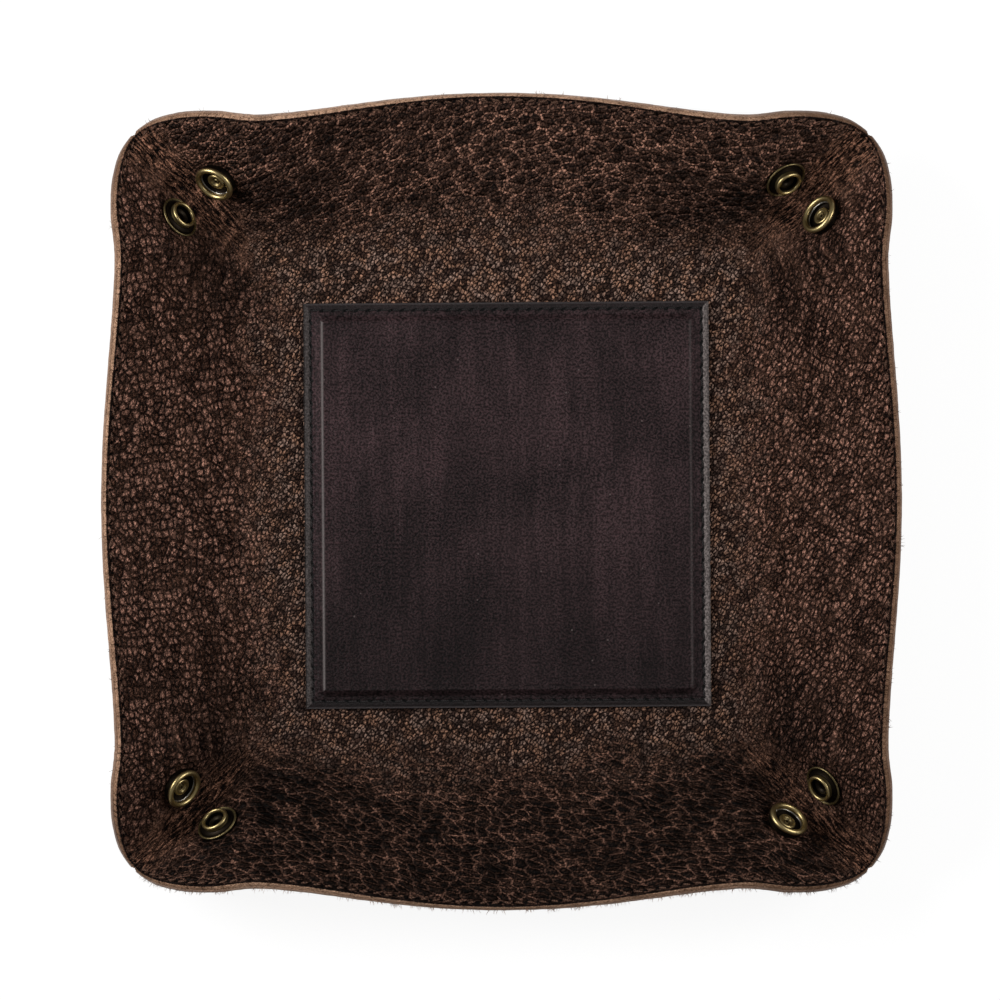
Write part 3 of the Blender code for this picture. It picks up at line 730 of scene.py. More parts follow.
RIM_HOLE = (0.002, 0.0013, 0.0012)


def floor_colour(tree, flat, fine):
    """Small pebbles with tan painted highlights on their tops, unevenly, dark wax between, and painted
    shade in the creases.
    """
    # Painted highlights on the pebbles' tops, their tint varying in patches.
    patches = scaled(tree, noise(tree, flat, 0.0045), 0.38, 0.62)
    sheen_colour = blended_colour(tree, patches, *FLOOR_TOP_SHEEN)
    wear_and_sheen = times(tree, fine["Dome"], scaled(tree, fine["Tone"], 0.1, 0.9, 0.10, 1.2))
    colour = blended_colour(tree, wear_and_sheen, FLOOR_WAX, sheen_colour)
    # Painted shade in the creases, with the wax gathered there.
    return blended_colour(tree, fine["Crease"], colour, FLOOR_CREASE)


def wall_colour(tree, flat, pebble, fine, wall, hide, pale, crest):
    """The walls' pebbles. The north and south walls have black tops in a pale, broken net of creases; the
    east and west ones have brown tops painted lighter as if lit, and creases with painted shade and the
    wax there. Painted highlights and shade on the fine pebbles lie over both."""
    tops = scaled(tree, wall["Tone"], 0.15, 0.85)
    waves = noise(tree, stretched(tree, pebble, (0.28, 0.80, 1.0)), 1.0, 3.0, 0.62)
    off_crest = combined(tree, "ABSOLUTE", combined(tree, "SUBTRACT", waves, 0.5))
    long_line = scaled(tree, off_crest, 0.0, 0.022, 1.0, 0.0)
    broken = scaled(tree, noise(tree, pebble, 1.0 / 0.7, 2.0, 0.6), 0.38, 0.60, 0.30, 1.0)
    net = times(tree, wall["Crease"], broken)
    net = combined(tree, "MAXIMUM", net, times(tree, long_line, 0.40))
    stranded = scaled(tree, fine["Dome"], 0.22, 0.62, 0.03, 0.80)
    net = combined(tree, "MAXIMUM", net, times(tree, wall["Band"], stranded))
    net = combined(tree, "MAXIMUM", net, scaled(tree, fine["Dome"], 0.25, 0.70, 0.0, 0.11))
    pale_net = blended_colour(tree, net, blended_colour(tree, tops, *BLACK_PEBBLE), BROKEN_WAX)
    uneven = scaled(tree, noise(tree, flat, 0.0055), 0.36, 0.64, 0.34, 1.40)
    # On the north and south walls the crests are painted lighter and the ground between them darker, with
    # random unevenness.
    pale_net = dimmed(tree, pale_net, times(tree, uneven, scaled(tree, crest, 0.02, 0.40, 0.62, 1.3)))
    # On the east and west walls the pebble tops are painted lighter as if lit and the creases get painted
    # shade, with the wax there.
    sunk = times(tree, wall["Dome"], scaled(tree, long_line, 0.0, 1.0, 1.0, 0.25))
    brown_top = blended_colour(tree, tops, LIT_PEBBLE, hide["Colour"])
    colour = blended_colour(tree, pale, blended_colour(tree, sunk, DARK_CREASE, brown_top), pale_net)
    # Painted highlights on the fine pebbles and painted shade between them.
    fine_light_and_shade = scaled(tree, fine["Dome"], 0.10, 0.65, -0.58, 0.50)
    fine_light_and_shade = times(tree, fine_light_and_shade, scaled(tree, pale, 0.91, 0.99, 1.0, 0.25))
    return dimmed(tree, colour, combined(tree, "ADD", 1.0, fine_light_and_shade))


def rim_colour(tree, flat, rim, cut, colour):
    """The dark line at the very edge, the seam's needle holes painted black for the shade in them, and
    the raw cut face.
    """
    line = times(
        tree, scaled(tree, rim["Y"], 0.00010, 0.00025),
        scaled(tree, rim["Y"], 0.00055, 0.00095, 1.0, 0.0), 0.85,
    )
    colour = blended_colour(tree, line, colour, DARK_RIM)
    # The needle holes are painted near black for the shade inside them.
    hole = placed(tree, NEEDLE_HOLES, {
        "Along": combined(tree, "PINGPONG", rim["X"], STITCH_PITCH / 2.0),
        "Aside": combined(tree, "SUBTRACT", rim["Y"], SEAM_INSET),
    })["Hole"]
    colour = blended_colour(tree, hole, colour, RIM_HOLE)
    raw = placed(tree, RAW_EDGE, {"Flat Place": flat})["Colour"]
    return blended_colour(tree, scaled(tree, cut, 0.45, 0.85), colour, raw)


def pebbled_leather():
    """Dark brown waxed grain: the floor's pebbles, the walls' pebbles, and strands drawn out beside the
    pinched corners. Crests carry a painted highlight, the colour is darkened by painted shade in places,
    and the wax is uneven and finely flecked."""
    material, tree, shader = new_material("pebbled leather")
    flat, pebble, drawn = (attribute(tree, name) for name in ("flat", "pebble", "drawn"))
    share, rim, crests_shade_and_seat = (axes(tree, attribute(tree, name)) for name in ("shares", "rim", "crests_shade_and_seat"))
    crest, tone_and_shade, shown = crests_shade_and_seat["X"], crests_shade_and_seat["Y"], crests_shade_and_seat["Z"]
    cut = attribute(tree, "cut", "Fac")
    hide = placed(tree, MOTTLED_HIDE, {
        "Flat Place": flat, "Cloud Scale": 45.0, "Fleck Scale": 1700.0, "Deep": WAX[0], "Pale": WAX[1],
    })
    fine_place = put(tree, "ShaderNodeMapping", {
        "Vector": flat, "Rotation": (0.0, 0.0, FINE_PEBBLE_TURN), "Scale": (*FINE_PEBBLE, 1.0),
    }, vector_type="TEXTURE").outputs[0]
    fine = placed(tree, PEBBLES, {"Place": fine_place, "Ragged": 1.1})
    wall = placed(tree, PEBBLES, {"Place": pebble, "Ragged": 0.42, "Line Width": 0.085})
    strand = scaled(tree, noise(tree, drawn, 1.0, 3.0, 0.6), 0.44, 0.62)

    walls = wall_colour(tree, flat, pebble, fine, wall, hide, share["Z"], crest)
    colour = blended_colour(tree, share["X"], floor_colour(tree, flat, fine), walls)
    colour = blended_colour(tree, share["Y"], colour, blended_colour(tree, strand, *DRAWN))
    # A painted highlight on the crests of the streaks and pleats.
    on_crest = times(tree, crest, scaled(tree, share["Z"], 0.0, 1.0, 0.50, 0.22))
    colour = blended_colour(tree, on_crest, colour, CREST_HIGHLIGHT)
    # Darkened by each wall's tone, the painted falling-off of the light and the painted shade of pleats
    # and hollows, and by the hide's flecks.
    colour = dimmed(tree, colour, times(tree, tone_and_shade, scaled(tree, hide["Fleck"], 0.0, 1.0, 0.34, 1.7)))

    fine_rise = times(tree, fine["Dome"], scaled(tree, share["X"], 0.0, 1.0, 0.45, 0.10))
    wall_rise = times(tree, wall["Dome"], times(tree, share["X"], 0.90))
    strand_rise = times(tree, strand, times(tree, share["Y"], 0.45))
    rise = combined(tree, "ADD", combined(tree, "ADD", fine_rise, wall_rise), strand_rise)
    rise = combined(tree, "ADD", times(tree, rise, shown), times(tree, hide["Fleck"], 0.09))
    worn = scaled(tree, hide["Fleck"], 0.0, 1.0, 0.62, 0.48)
    finish(tree, shader, {
        "Base Color": rim_colour(tree, flat, rim, cut, colour),
        "Roughness": combined(tree, "MAXIMUM", worn, scaled(tree, cut, 0.5, 1.0, 0.0, 0.95)),
        "Specular IOR Level": 0.05,
    }, (rise, 1.0, 0.001))
    return material


PEBBLED = pebbled_leather()


def grain_floor():
    """The floor's grain, with one plain face under the sewn panel where no grain shows."""
    count = round(2.0 * HALF_FLOOR / GRAIN_STEP)
    sheet = bmesh.new()
    bmesh.ops.create_grid(sheet, x_segments=count, y_segments=count, size=HALF_FLOOR)
    hidden = BARE_PANEL_HALF - 2.0 * GRAIN_STEP
    covered = []
    for face in sheet.faces:
        middle = face.calc_center_median()
        if max(abs(middle.x), abs(middle.y)) < hidden:
            covered.append(face)
    bmesh.ops.delete(sheet, geom=covered, context="FACES")
    inner = []
    for edge in sheet.edges:
        end = edge.verts[0].co
        if edge.is_boundary and max(abs(end.x), abs(end.y)) < BARE_PANEL_HALF:
            inner.append(edge)
    bmesh.ops.holes_fill(sheet, edges=inner, sides=0)
    thickened(sheet, 1.0)
    for edge in sheet.edges:
        edge.smooth = edge.calc_face_angle(0.0) < SHARP_TURN
    piece, places = sheet_piece("floor_grain", sheet)
    east, north, surface = places[:, 0], places[:, 1], places[:, 2] > 0.5
    depth = np.where(surface, -mark_grain(piece, east, north), GRAIN_LEATHER)
    set_points(piece, laid(east, north, depth))
    mark_place(piece, east, north, depth)
    mark(piece, "cut", np.where(surface, 0.0, 1.0))
    mark(piece, "rim", np.stack((east, np.full_like(east, HALF_FLOOR), depth), axis=1))
    return piece


def dress(piece, material, slot_name, *nodes):
    piece.data.materials.append(material)
    if nodes:
        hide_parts(*nodes)


floor_grain = grain_floor()
dress(floor_grain, PEBBLED, "pebbled_leather", "floor_leather")
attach(floor_grain, "floor")
for number, wall in enumerate(WALLS):
    wall_grain = lay_sheet(f"{wall}_wall_grain", number, 0.0, GRAIN_LAYER)
    dress(wall_grain, PEBBLED, "pebbled_leather", f"{wall}_wall_leather")
    follow_wall(wall_grain)
    for kind, side in FLAPS:
        flap_grain = lay_sheet(f"{wall}_{kind}_flap_grain", number, side, GRAIN_LAYER)
        dress(flap_grain, PEBBLED, "pebbled_leather", f"{wall}_{kind}_flap_leather")
        follow_flap(flap_grain)


# The backing. A second, thinner leather of the same outline is glued under the first, flesh side
# out. Its edge is cut raw and isn't painted, so tan fibres show all round the rim and stand off it.
BACKING_STEP = 0.0015
BACKING_ROWS = (0.0, 0.3, 0.8)
BACKING_DEPTH = GRAIN_LEATHER + GLUE_LINE
BACKING_LAYER = (BACKING_STEP, BACKING_ROWS, BACKING_DEPTH, BACKING_LEATHER, False)
BACKING_LIGHT = (0.50, 0.300, 0.190)
BACKING_DARK = (0.09, 0.042, 0.022)
BACKING_NAP = (0.17, 0.095, 0.058)
WALL_FIBRES = {"north": 24, "east": 60, "south": 420, "west": 16}
ROUGH_FROM = 70
ROUGHER = 1.15
TUFT_HAIRS = (1, 6)
TUFT_SPREAD = 0.0007
FIBRE_DEPTH = (0.0021, 0.0031)
FIBRE_ROOT = (-0.0003, 0.0006)
FIBRE_LENGTH = (0.0006, 0.0017)
FIBRE_WIDTH = (0.00004, 0.00010)
FIBRE_TIP = 0.25
FIBRE_LEAN = 0.7
WALL_REACH = HALF_FLOOR * 0.98
FLAP_FIBRES = (HALF_FLOOR + 0.004, RIM_LENGTH / 2.0 - 0.001)


def backing_leather():
    """Flesh side and raw edge: loose tan fibres under a brownish nap."""
    material, tree, shader = new_material("backing leather")
    flat = attribute(tree, "flat")
    # The raw edge carries painted shade at the east side and painted light at the north and south.
    raw = placed(tree, RAW_EDGE, {
        "Flat Place": flat, "Light Fibre": BACKING_LIGHT, "Dark Fibre": BACKING_DARK,
    })
    nap = scaled(tree, noise(tree, flat, 0.012, 3.0), 0.3, 0.7, 0.0, 0.45)
    finish(tree, shader, {
        "Base Color": blended_colour(tree, nap, raw["Colour"], BACKING_NAP),
        "Roughness": scaled(tree, raw["Height"], 0.2, 0.8, 0.98, 0.86),
        "Specular IOR Level": 0.2, "Sheen Weight": 0.25, "Sheen Roughness": 0.6,
    }, (raw["Height"], 0.8, 0.0002))
    return material


BACKING = backing_leather()


def backing_floor():
    count = round(2.0 * HALF_FLOOR / BACKING_STEP)
    piece, shares = sheet_piece("floor_flesh_side", unit_sheet(count, count, 0, False))
    east, north = ((2.0 * shares[:, axis] - 1.0) * HALF_FLOOR for axis in (0, 1))
    depth = BACKING_DEPTH + (1.0 - shares[:, 2]) * BACKING_LEATHER
    set_points(piece, laid(east, north, depth))
    mark_place(piece, east, north, depth)
    return piece


floor_backing = backing_floor()
dress(floor_backing, BACKING, "backing_leather", "floor_backing")
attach(floor_backing, "floor")


def fibres(name, number, side, first, last, count, seed):
    """Loose flesh fibres on the cut edge of the backing: thin hairs in tufts that stand out from it,
    thickest where the edge is rough."""
    random = np.random.default_rng(seed)
    mesh = bmesh.new()
    rough = ROUGHER if count > ROUGH_FROM else 1.0
    while count > 0:
        tuft = random.uniform(first, last)
        hairs = int(random.integers(*TUFT_HAIRS))
        count -= hairs
        for arc in np.clip(tuft + random.normal(0.0, TUFT_SPREAD, hairs), first, last):
            east, north, outward = rim_place(abs(arc))
            lean = side if side else math.copysign(1.0, arc)
            depth = random.uniform(*FIBRE_DEPTH)
            spots = [(lean * (east + outward[0] * out), north + outward[1] * out) for out in FIBRE_ROOT]
            across, along = np.array([turned(*spot, number) for spot in spots]).T
            near, far = laid(across, along, np.full(2, depth))
            away = Vector(far - near).normalized()
            away = (away + Vector(random.uniform(-FIBRE_LEAN, FIBRE_LEAN, 3))).normalized()
            length = random.uniform(*FIBRE_LENGTH) * rough
            width = random.uniform(*FIBRE_WIDTH) * rough
            facing = away.to_track_quat("Z", "Y").to_matrix().to_4x4()
            place = Matrix.Translation(Vector(near) + away * (length / 2.0)) @ facing
            bmesh.ops.create_cone(
                mesh, cap_ends=True, segments=4, radius1=width, radius2=width * FIBRE_TIP,
                depth=length, matrix=place,
            )
    bmesh.ops.recalc_face_normals(mesh, faces=mesh.faces)
    piece, points = sheet_piece(name, mesh)
    mark(piece, "flat", points)
    dress(piece, BACKING, "backing_leather")
    return piece


for number, wall in enumerate(WALLS):
    wall_back = lay_sheet(f"{wall}_wall_flesh_side", number, 0.0, BACKING_LAYER)
    dress(wall_back, BACKING, "backing_leather", f"{wall}_wall_backing")
    follow_wall(wall_back)
    hairs = fibres(
        f"{wall}_wall_fibres", number, 0.0, -WALL_REACH, WALL_REACH, WALL_FIBRES[wall], 100 + number
    )
    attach(hairs, f"{wall}_wall")
    for kind, side in FLAPS:
        flap_back = lay_sheet(f"{wall}_{kind}_flap_flesh_side", number, side, BACKING_LAYER)
        dress(flap_back, BACKING, "backing_leather", f"{wall}_{kind}_flap_backing")
        follow_flap(flap_back)
        hairs = fibres(
            f"{wall}_{kind}_flap_fibres", number, side, *FLAP_FIBRES, WALL_FIBRES[wall] // 4,
            120 + 2 * number + (side > 0),
        )
        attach(hairs, f"{wall}_{kind}_flap")


# The rim seam. A waxed brown-black thread runs 1.4 mm inside the edge all round, 3.5 mm to a stitch.
# It holds both leathers together and dips into a hole between every two stitches.
THREAD_RADIUS = 0.00034
THREAD_SINK = -0.00004
THREAD_LAYS = 0.32
THREAD_SLANT = 0.00010
RUN_STEP = 0.0004
BEAD_SIDES = 8
RIM_THREAD_COLOURS = ((0.020, 0.010, 0.007), (0.150, 0.078, 0.050))


def twisted_ply_group():
    """The plies of a waxed thread, laid in a twist: each is painted paler on its back, a painted
    highlight.
    """
    group, given, give = new_group("twisted plies", {
        "Place": ("Vector", None),
        "Dark": ("Color", (0.004, 0.0035, 0.0035)),
        "Light": ("Color", (0.028, 0.024, 0.024)),
    }, {"Colour": "Color", "Roughness": "Float", "Height": "Float"})
    plies = put(group, "ShaderNodeTexWave", {
        "Vector": given["Place"], "Scale": 900.0, "Distortion": 1.5,
    }, bands_direction="DIAGONAL").outputs["Fac"]
    return give({
        "Colour": blended_colour(group, plies, given["Dark"], given["Light"]),
        "Roughness": scaled(group, plies, 0.0, 1.0, 0.7, 0.45), "Height": plies,
    })


TWISTED_PLIES = twisted_ply_group()


def waxed_thread(name, dark, light):
    material, tree, shader = new_material(name)
    plies = placed(tree, TWISTED_PLIES, {"Place": object_place(tree), "Dark": dark, "Light": light})
    finish(tree, shader, {
        "Base Color": plies["Colour"], "Roughness": plies["Roughness"], "Specular IOR Level": 0.15,
    }, (plies["Height"], 0.6, 0.0001))
    return material


RIM_THREAD = waxed_thread("waxed brown thread", *RIM_THREAD_COLOURS)


def stitch_row(name, places):
    """One long bead of thread for each place: its middle, the way it runs, up, and its half length."""
    mesh = bmesh.new()
    lengthwise = Matrix.Rotation(math.pi / 2.0, 4, "Y")
    for middle, run, up, half_length in places:
        run = run.normalized()
        across = up.cross(run).normalized()
        up = run.cross(across)
        shape = Matrix.Identity(4)
        columns = (run * half_length, across * THREAD_RADIUS, up * THREAD_RADIUS, middle)
        for column, direction in enumerate(columns):
            shape.col[column][:3] = direction
        bmesh.ops.create_uvsphere(
            mesh, u_segments=BEAD_SIDES, v_segments=BEAD_SIDES, radius=1.0, matrix=shape @ lengthwise
        )
    bmesh.ops.recalc_face_normals(mesh, faces=mesh.faces)
    return new_piece(name, mesh)


def rim_stitches(name, number, side, arcs):
    """Stitches of the rim seam, each laid on the leather and slanting a little across the seam."""
    spots = []
    for arc in arcs:
        east, north, outward = rim_place(np.abs(np.array([arc, arc - RUN_STEP, arc + RUN_STEP])))
        lean = -side if arc < 0.0 else side
        inset = SEAM_INSET - THREAD_SLANT * lean * np.array([0.0, -1.0, 1.0])
        east, north = turned(lean * (east - outward[:, 0] * inset), north - outward[:, 1] * inset, number)
        depth = SEAM_DEPTH * 0.5 + THREAD_SINK
        line = laid(east, north, np.full(3, depth))
        above = laid(east[:1], north[:1], np.array([depth - 0.001]))[0]
        run, up = Vector(line[2] - line[1]), Vector(above - line[0])
        spots.append((Vector(line[0]), run, up, STITCH_PITCH * THREAD_LAYS))
    return stitch_row(name, spots)


half_wall_stitches = int(HALF_FLOOR / STITCH_PITCH)
for number, wall in enumerate(WALLS):
    arcs = [STITCH_PITCH * (n + 0.5) for n in range(-half_wall_stitches - 1, half_wall_stitches + 1)]
    arcs = [arc for arc in arcs if abs(arc) < HALF_FLOOR]
    seam = rim_stitches(f"{wall}_wall_seam", number, 1.0, arcs)
    dress(seam, RIM_THREAD, "thread")
    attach(seam, f"{wall}_wall")
    for kind, side in FLAPS:
        arcs = [STITCH_PITCH * (n + 0.5) for n in range(half_wall_stitches - 1, STITCHES_PER_SIDE // 2)]
        arcs = [arc for arc in arcs if arc > HALF_FLOOR]
        seam = rim_stitches(f"{wall}_{kind}_flap_seam", number, side, arcs)
        dress(seam, RIM_THREAD, "thread")
        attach(seam, f"{wall}_{kind}_flap")


# The centre panel. A smooth black-brown leather, 1.2 mm thick and 121.5 mm square, is sewn to the
# floor over a thin board, a little off centre and turned a touch. The board's edge stands out as a
# fine ridge inside the seam, and the seam draws the border down.
panel_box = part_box("centre_panel")
board_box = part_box("stiffener_board")
PANEL_TURN = math.radians(0.4)
PANEL_SPREAD = math.cos(PANEL_TURN) + math.sin(PANEL_TURN)
PANEL_HALF = (panel_box[1].x - panel_box[0].x) / 2.0 / PANEL_SPREAD
BOARD_HALF = (board_box[1].x - board_box[0].x) / 2.0 / PANEL_SPREAD
PANEL_LEATHER = 0.0012
PANEL_RISE = panel_box[1].z - panel_box[0].z - PANEL_LEATHER
PANEL_SEAM_INSET = 0.0021
PANEL_SEAM_HALF = PANEL_HALF - PANEL_SEAM_INSET
PANEL_SEAM_WIDTH = 0.00045
PANEL_SEAM_DEPTH = 0.00030
PANEL_STITCHES = 34
PANEL_PITCH = 2.0 * PANEL_SEAM_HALF / PANEL_STITCHES
BOARD_CORNER = 0.0015
BORDER_FALL = 0.00042
EDGE_FALL = (0.00025, 0.00030)
EDGE_BULGE = 0.00012
UNEVEN_BOARD = (0.00010, 0.024)
UNEVEN_FADE = 0.01
UNDER_CUTS = 3
RIDGE_CLIMB = 0.0023
RIDGE_WIDTH = 0.00030
RIDGE_CREST = 0.00014
UNDER_CLIMB = 0.0008
LINE_REACH = 0.0022
LINE_COUNTS = (33, 42)
SATIN = ((0.0030, 0.0015, 0.0017), (0.0440, 0.0246, 0.0262))
PALE_SPECK = (0.13, 0.10, 0.095)
# The border's painted light and shade: a grey sheen on the east and west borders, a highlight on the
# ridge, and shade on the north and south borders.
BORDER_SHEEN = (0.110, 0.093, 0.088)
RIDGE_HIGHLIGHT = (0.150, 0.130, 0.126)
DARK_BORDER = (0.0130, 0.0110, 0.0110)
OUTER_LINE = (0.050, 0.043, 0.043)
PANEL_HOLE = (0.0005, 0.0005, 0.0005)
panel_middle = (panel_box[0] + panel_box[1]) / 2.0
panel_frame = Matrix.Translation((panel_middle.x, panel_middle.y, panel_box[0].z))
panel_frame = panel_frame @ Matrix.Rotation(PANEL_TURN, 4, "Z")


def panel_height(east, north):
    """Height of the panel's face over its border, in its own frame."""
    across, along = BOARD_HALF - np.abs(east), BOARD_HALF - np.abs(north)
    at_corner = (across < BOARD_CORNER) & (along < BOARD_CORNER)
    corner = np.hypot(np.maximum(BOARD_CORNER - across, 0.0), np.maximum(BOARD_CORNER - along, 0.0))
    inside = np.where(at_corner, BOARD_CORNER - corner, np.minimum(across, along))
    height = PANEL_RISE * eased((inside + RIDGE_CLIMB) / RIDGE_CLIMB)
    height = height + RIDGE_CREST * bell(inside, RIDGE_WIDTH)
    waves = drift(east / UNEVEN_BOARD[1], north / UNEVEN_BOARD[1], 61)
    height = height + UNEVEN_BOARD[0] * waves * eased(inside / UNEVEN_FADE)
    edge = PANEL_HALF - np.maximum(np.abs(east), np.abs(north))
    run = np.where(np.abs(east) > np.abs(north), north, east)
    pull = 0.35 + 0.65 * np.cos(math.pi * (run + PANEL_SEAM_HALF) / PANEL_PITCH) ** 6
    height = height - PANEL_SEAM_DEPTH * pull * bell(edge - PANEL_SEAM_INSET, PANEL_SEAM_WIDTH)
    height = height - BORDER_FALL * (1.0 - np.clip(edge / PANEL_SEAM_INSET, 0.0, 1.0)) ** 2
    return height - EDGE_FALL[0] * np.exp(-edge / EDGE_FALL[1])


def panel_lines():
    """Where the panel's grid lines lie from its middle: closest at the seam and the ridge."""
    border = PANEL_HALF - BOARD_HALF + LINE_REACH
    near = np.linspace(0.0, border, LINE_COUNTS[0])
    far = np.linspace(border, PANEL_HALF, LINE_COUNTS[1])[1:]
    half = PANEL_HALF - np.concatenate((near, far))
    return np.concatenate((-half, half[::-1][1:]))


def border_colour(tree, where, fleck, colour):
    """Outside the seam the east and west borders carry a painted grey sheen, and the north and south ones
    are painted dark, a painted shade, with a paler outermost line. The ridge carries a painted highlight,
    and the needle's holes are painted black for the shade in them."""
    border = axes(tree, attribute(tree, "border"))
    on_side = combined(tree, "SUBTRACT", 1.0, border["Z"])
    outside = scaled(tree, border["Y"], PANEL_SEAM_INSET - 0.0003, PANEL_SEAM_INSET, 0.9, 0.0)
    # A painted grey sheen on the east and west borders, lighter to the east, varied by the hide's flecks.
    fleck_and_sheen = times(
        tree, scaled(tree, fleck, 0.0, 1.0, 0.5, 1.5), scaled(tree, where["X"], -0.06, 0.06, 0.42, 1.40)
    )
    wear_and_sheen = dimmed(tree, BORDER_SHEEN, fleck_and_sheen)
    colour = blended_colour(tree, times(tree, outside, on_side), colour, wear_and_sheen)
    # A painted highlight on the ridge of the east and west sides, stronger to the west.
    ridge = times(
        tree, attribute(tree, "ridge", "Fac"), scaled(tree, where["X"], -0.05, 0.03, 1.0, 0.22), on_side
    )
    colour = blended_colour(tree, ridge, colour, RIDGE_HIGHLIGHT)
    # Painted shade on the north and south borders outside the seam.
    colour = blended_colour(tree, times(tree, outside, border["Z"], 0.8), colour, DARK_BORDER)
    outermost = times(tree, scaled(tree, border["Y"], 0.0003, 0.0006, 0.85, 0.0), border["Z"])
    colour = blended_colour(tree, outermost, colour, OUTER_LINE)
    along = combined(tree, "WRAP", border["X"], PANEL_PITCH / 2.0, -PANEL_PITCH / 2.0)
    along = times(tree, along, 0.5)
    aside = combined(tree, "SUBTRACT", border["Y"], PANEL_SEAM_INSET)
    # The needle holes are painted black for the shade inside them.
    hole = placed(tree, NEEDLE_HOLES, {
        "Along": along, "Aside": combined(tree, "ADD", aside, times(tree, along, 0.7)),
        "Bottom": 0.00036, "Lip": 0.00056,
    })["Hole"]
    return blended_colour(tree, hole, colour, PANEL_HOLE)


def smooth_leather():
    """Satin leather, brushed smooth: nearly black with purple-brown clouds, streaks and pale specks, and
    painted darker towards the south, where the light falls off."""
    material, tree, shader = new_material("smooth leather")
    place = object_place(tree)
    where = axes(tree, place)
    hide = placed(tree, MOTTLED_HIDE, {
        "Flat Place": place, "Cloud Scale": 38.0, "Fleck Scale": 1500.0,
        "Deep": SATIN[0], "Pale": SATIN[1],
    })
    streaks = noise(tree, stretched(tree, place, (1.0, 0.10, 1.0)), 0.0036, 4.0, 0.65)
    # Darker towards the south: a painted falling-off of the light, with the wax's streaks and flecks.
    wax_and_falloff = times(
        tree, scaled(tree, streaks, 0.35, 0.70, 0.78, 1.25),
        scaled(tree, where["Y"], -0.062, 0.02, 0.56, 1.0),
        scaled(tree, hide["Fleck"], 0.0, 1.0, 0.62, 1.40),
    )
    colour = dimmed(tree, hide["Colour"], wax_and_falloff)
    specks = put(tree, "ShaderNodeTexVoronoi", {"Vector": place, "Scale": 170.0, "Randomness": 1.0})
    speck = scaled(tree, specks.outputs["Distance"], 0.035, 0.06, 0.6, 0.0)
    colour = blended_colour(tree, speck, colour, PALE_SPECK)
    finish(tree, shader, {
        "Base Color": border_colour(tree, where, hide["Fleck"], colour),
        "Roughness": scaled(tree, streaks, 0.3, 0.7, 0.55, 0.42),
        "Specular IOR Level": 0.12,
    }, (hide["Fleck"], 1.0, 0.00012))
    return material


def sewn_panel():
    lines = panel_lines()
    count = len(lines) - 1
    sheet = unit_sheet(count, count, UNDER_CUTS, True)
    for edge in sheet.edges:
        edge.smooth = True
    piece, shares = sheet_piece("sewn_panel", sheet)
    east, north = (lines[np.rint(shares[:, axis] * count).astype(int)] for axis in (0, 1))
    under = 1.0 - shares[:, 2]
    far = np.maximum(np.abs(east), np.abs(north))
    lifted = PANEL_RISE * eased((BOARD_HALF - far + UNDER_CLIMB) / UNDER_CLIMB)
    height = np.where(under < SURFACE, PANEL_LEATHER + panel_height(east, north), lifted)
    between = (under > SURFACE) & (under < 1.0 - SURFACE)
    height = np.where(between, PANEL_LEATHER * shares[:, 2], height)
    bulge = 1.0 - EDGE_BULGE / PANEL_HALF * (2.0 * under - 1.0) ** 2
    points = np.stack((east * bulge, north * bulge, height), axis=1)
    matrix = np.array(panel_frame)
    set_points(piece, points @ matrix[:3, :3].T + matrix[:3, 3])
    run = np.where(np.abs(east) > np.abs(north), north, east) + PANEL_SEAM_HALF
    mark(piece, "ridge", bell(BOARD_HALF - far, RIDGE_WIDTH))
    mark(piece, "border", np.stack((run, PANEL_HALF - far, (np.abs(north) > np.abs(east)) * 1.0), axis=1))
    return piece


panel = sewn_panel()
dress(panel, smooth_leather(), "smooth_leather", "centre_panel")
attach(panel, "floor")


# The panel's seam. A waxed black thread is sewn through the panel's border and the floor, 2.1 mm
# inside the edge, with 34 stitches to a side. Each stitch slants a little and is drawn into the leather.
PANEL_THREAD_LAYS = 0.36
PANEL_THREAD_SINK = 0.00012
PANEL_THREAD_SLANT = 0.06
PANEL_THREAD_COLOURS = ((0.004, 0.0035, 0.0035), (0.028, 0.024, 0.024))
panel_spots = []
for quarter in range(4):
    side_frame = panel_frame @ Matrix.Rotation(quarter * math.pi / 2.0, 4, "Z")
    for n in range(PANEL_STITCHES):
        run = (n + 0.5) * PANEL_PITCH - PANEL_SEAM_HALF
        middle = side_frame @ Vector((run, PANEL_SEAM_HALF, PANEL_LEATHER - PANEL_THREAD_SINK))
        along = side_frame.to_3x3() @ Vector((1.0, PANEL_THREAD_SLANT, 0.0))
        panel_spots.append((middle, along, Vector((0.0, 0.0, 1.0)), PANEL_PITCH * PANEL_THREAD_LAYS))
panel_seam = stitch_row("panel_seam", panel_spots)
PANEL_THREAD = waxed_thread("waxed black thread", *PANEL_THREAD_COLOURS)
dress(panel_seam, PANEL_THREAD, "thread", "panel_stitching")
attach(panel_seam, "floor")


# The board. A square of grey-brown pressed fibre board, 0.9 mm thick, lies under the panel inside its
# seam and keeps it flat. It is hidden by the panel, but it is finished as board is.
BOARD_COLOURS = ((0.15, 0.105, 0.07), (0.27, 0.20, 0.14))


def fibre_board():
    material, tree, shader = new_material("pressed board")
    chips = noise(tree, object_place(tree), 0.0015, 4.0, 0.7)
    finish(tree, shader, {
        "Base Color": blended_colour(tree, scaled(tree, chips, 0.3, 0.7), *BOARD_COLOURS),
        "Roughness": scaled(tree, chips, 0.2, 0.8, 0.85, 0.95),
    })
    return material


board = frame["nodes"]["stiffener_board"]
board.data.materials.clear()
board.data.materials.append(fibre_board())


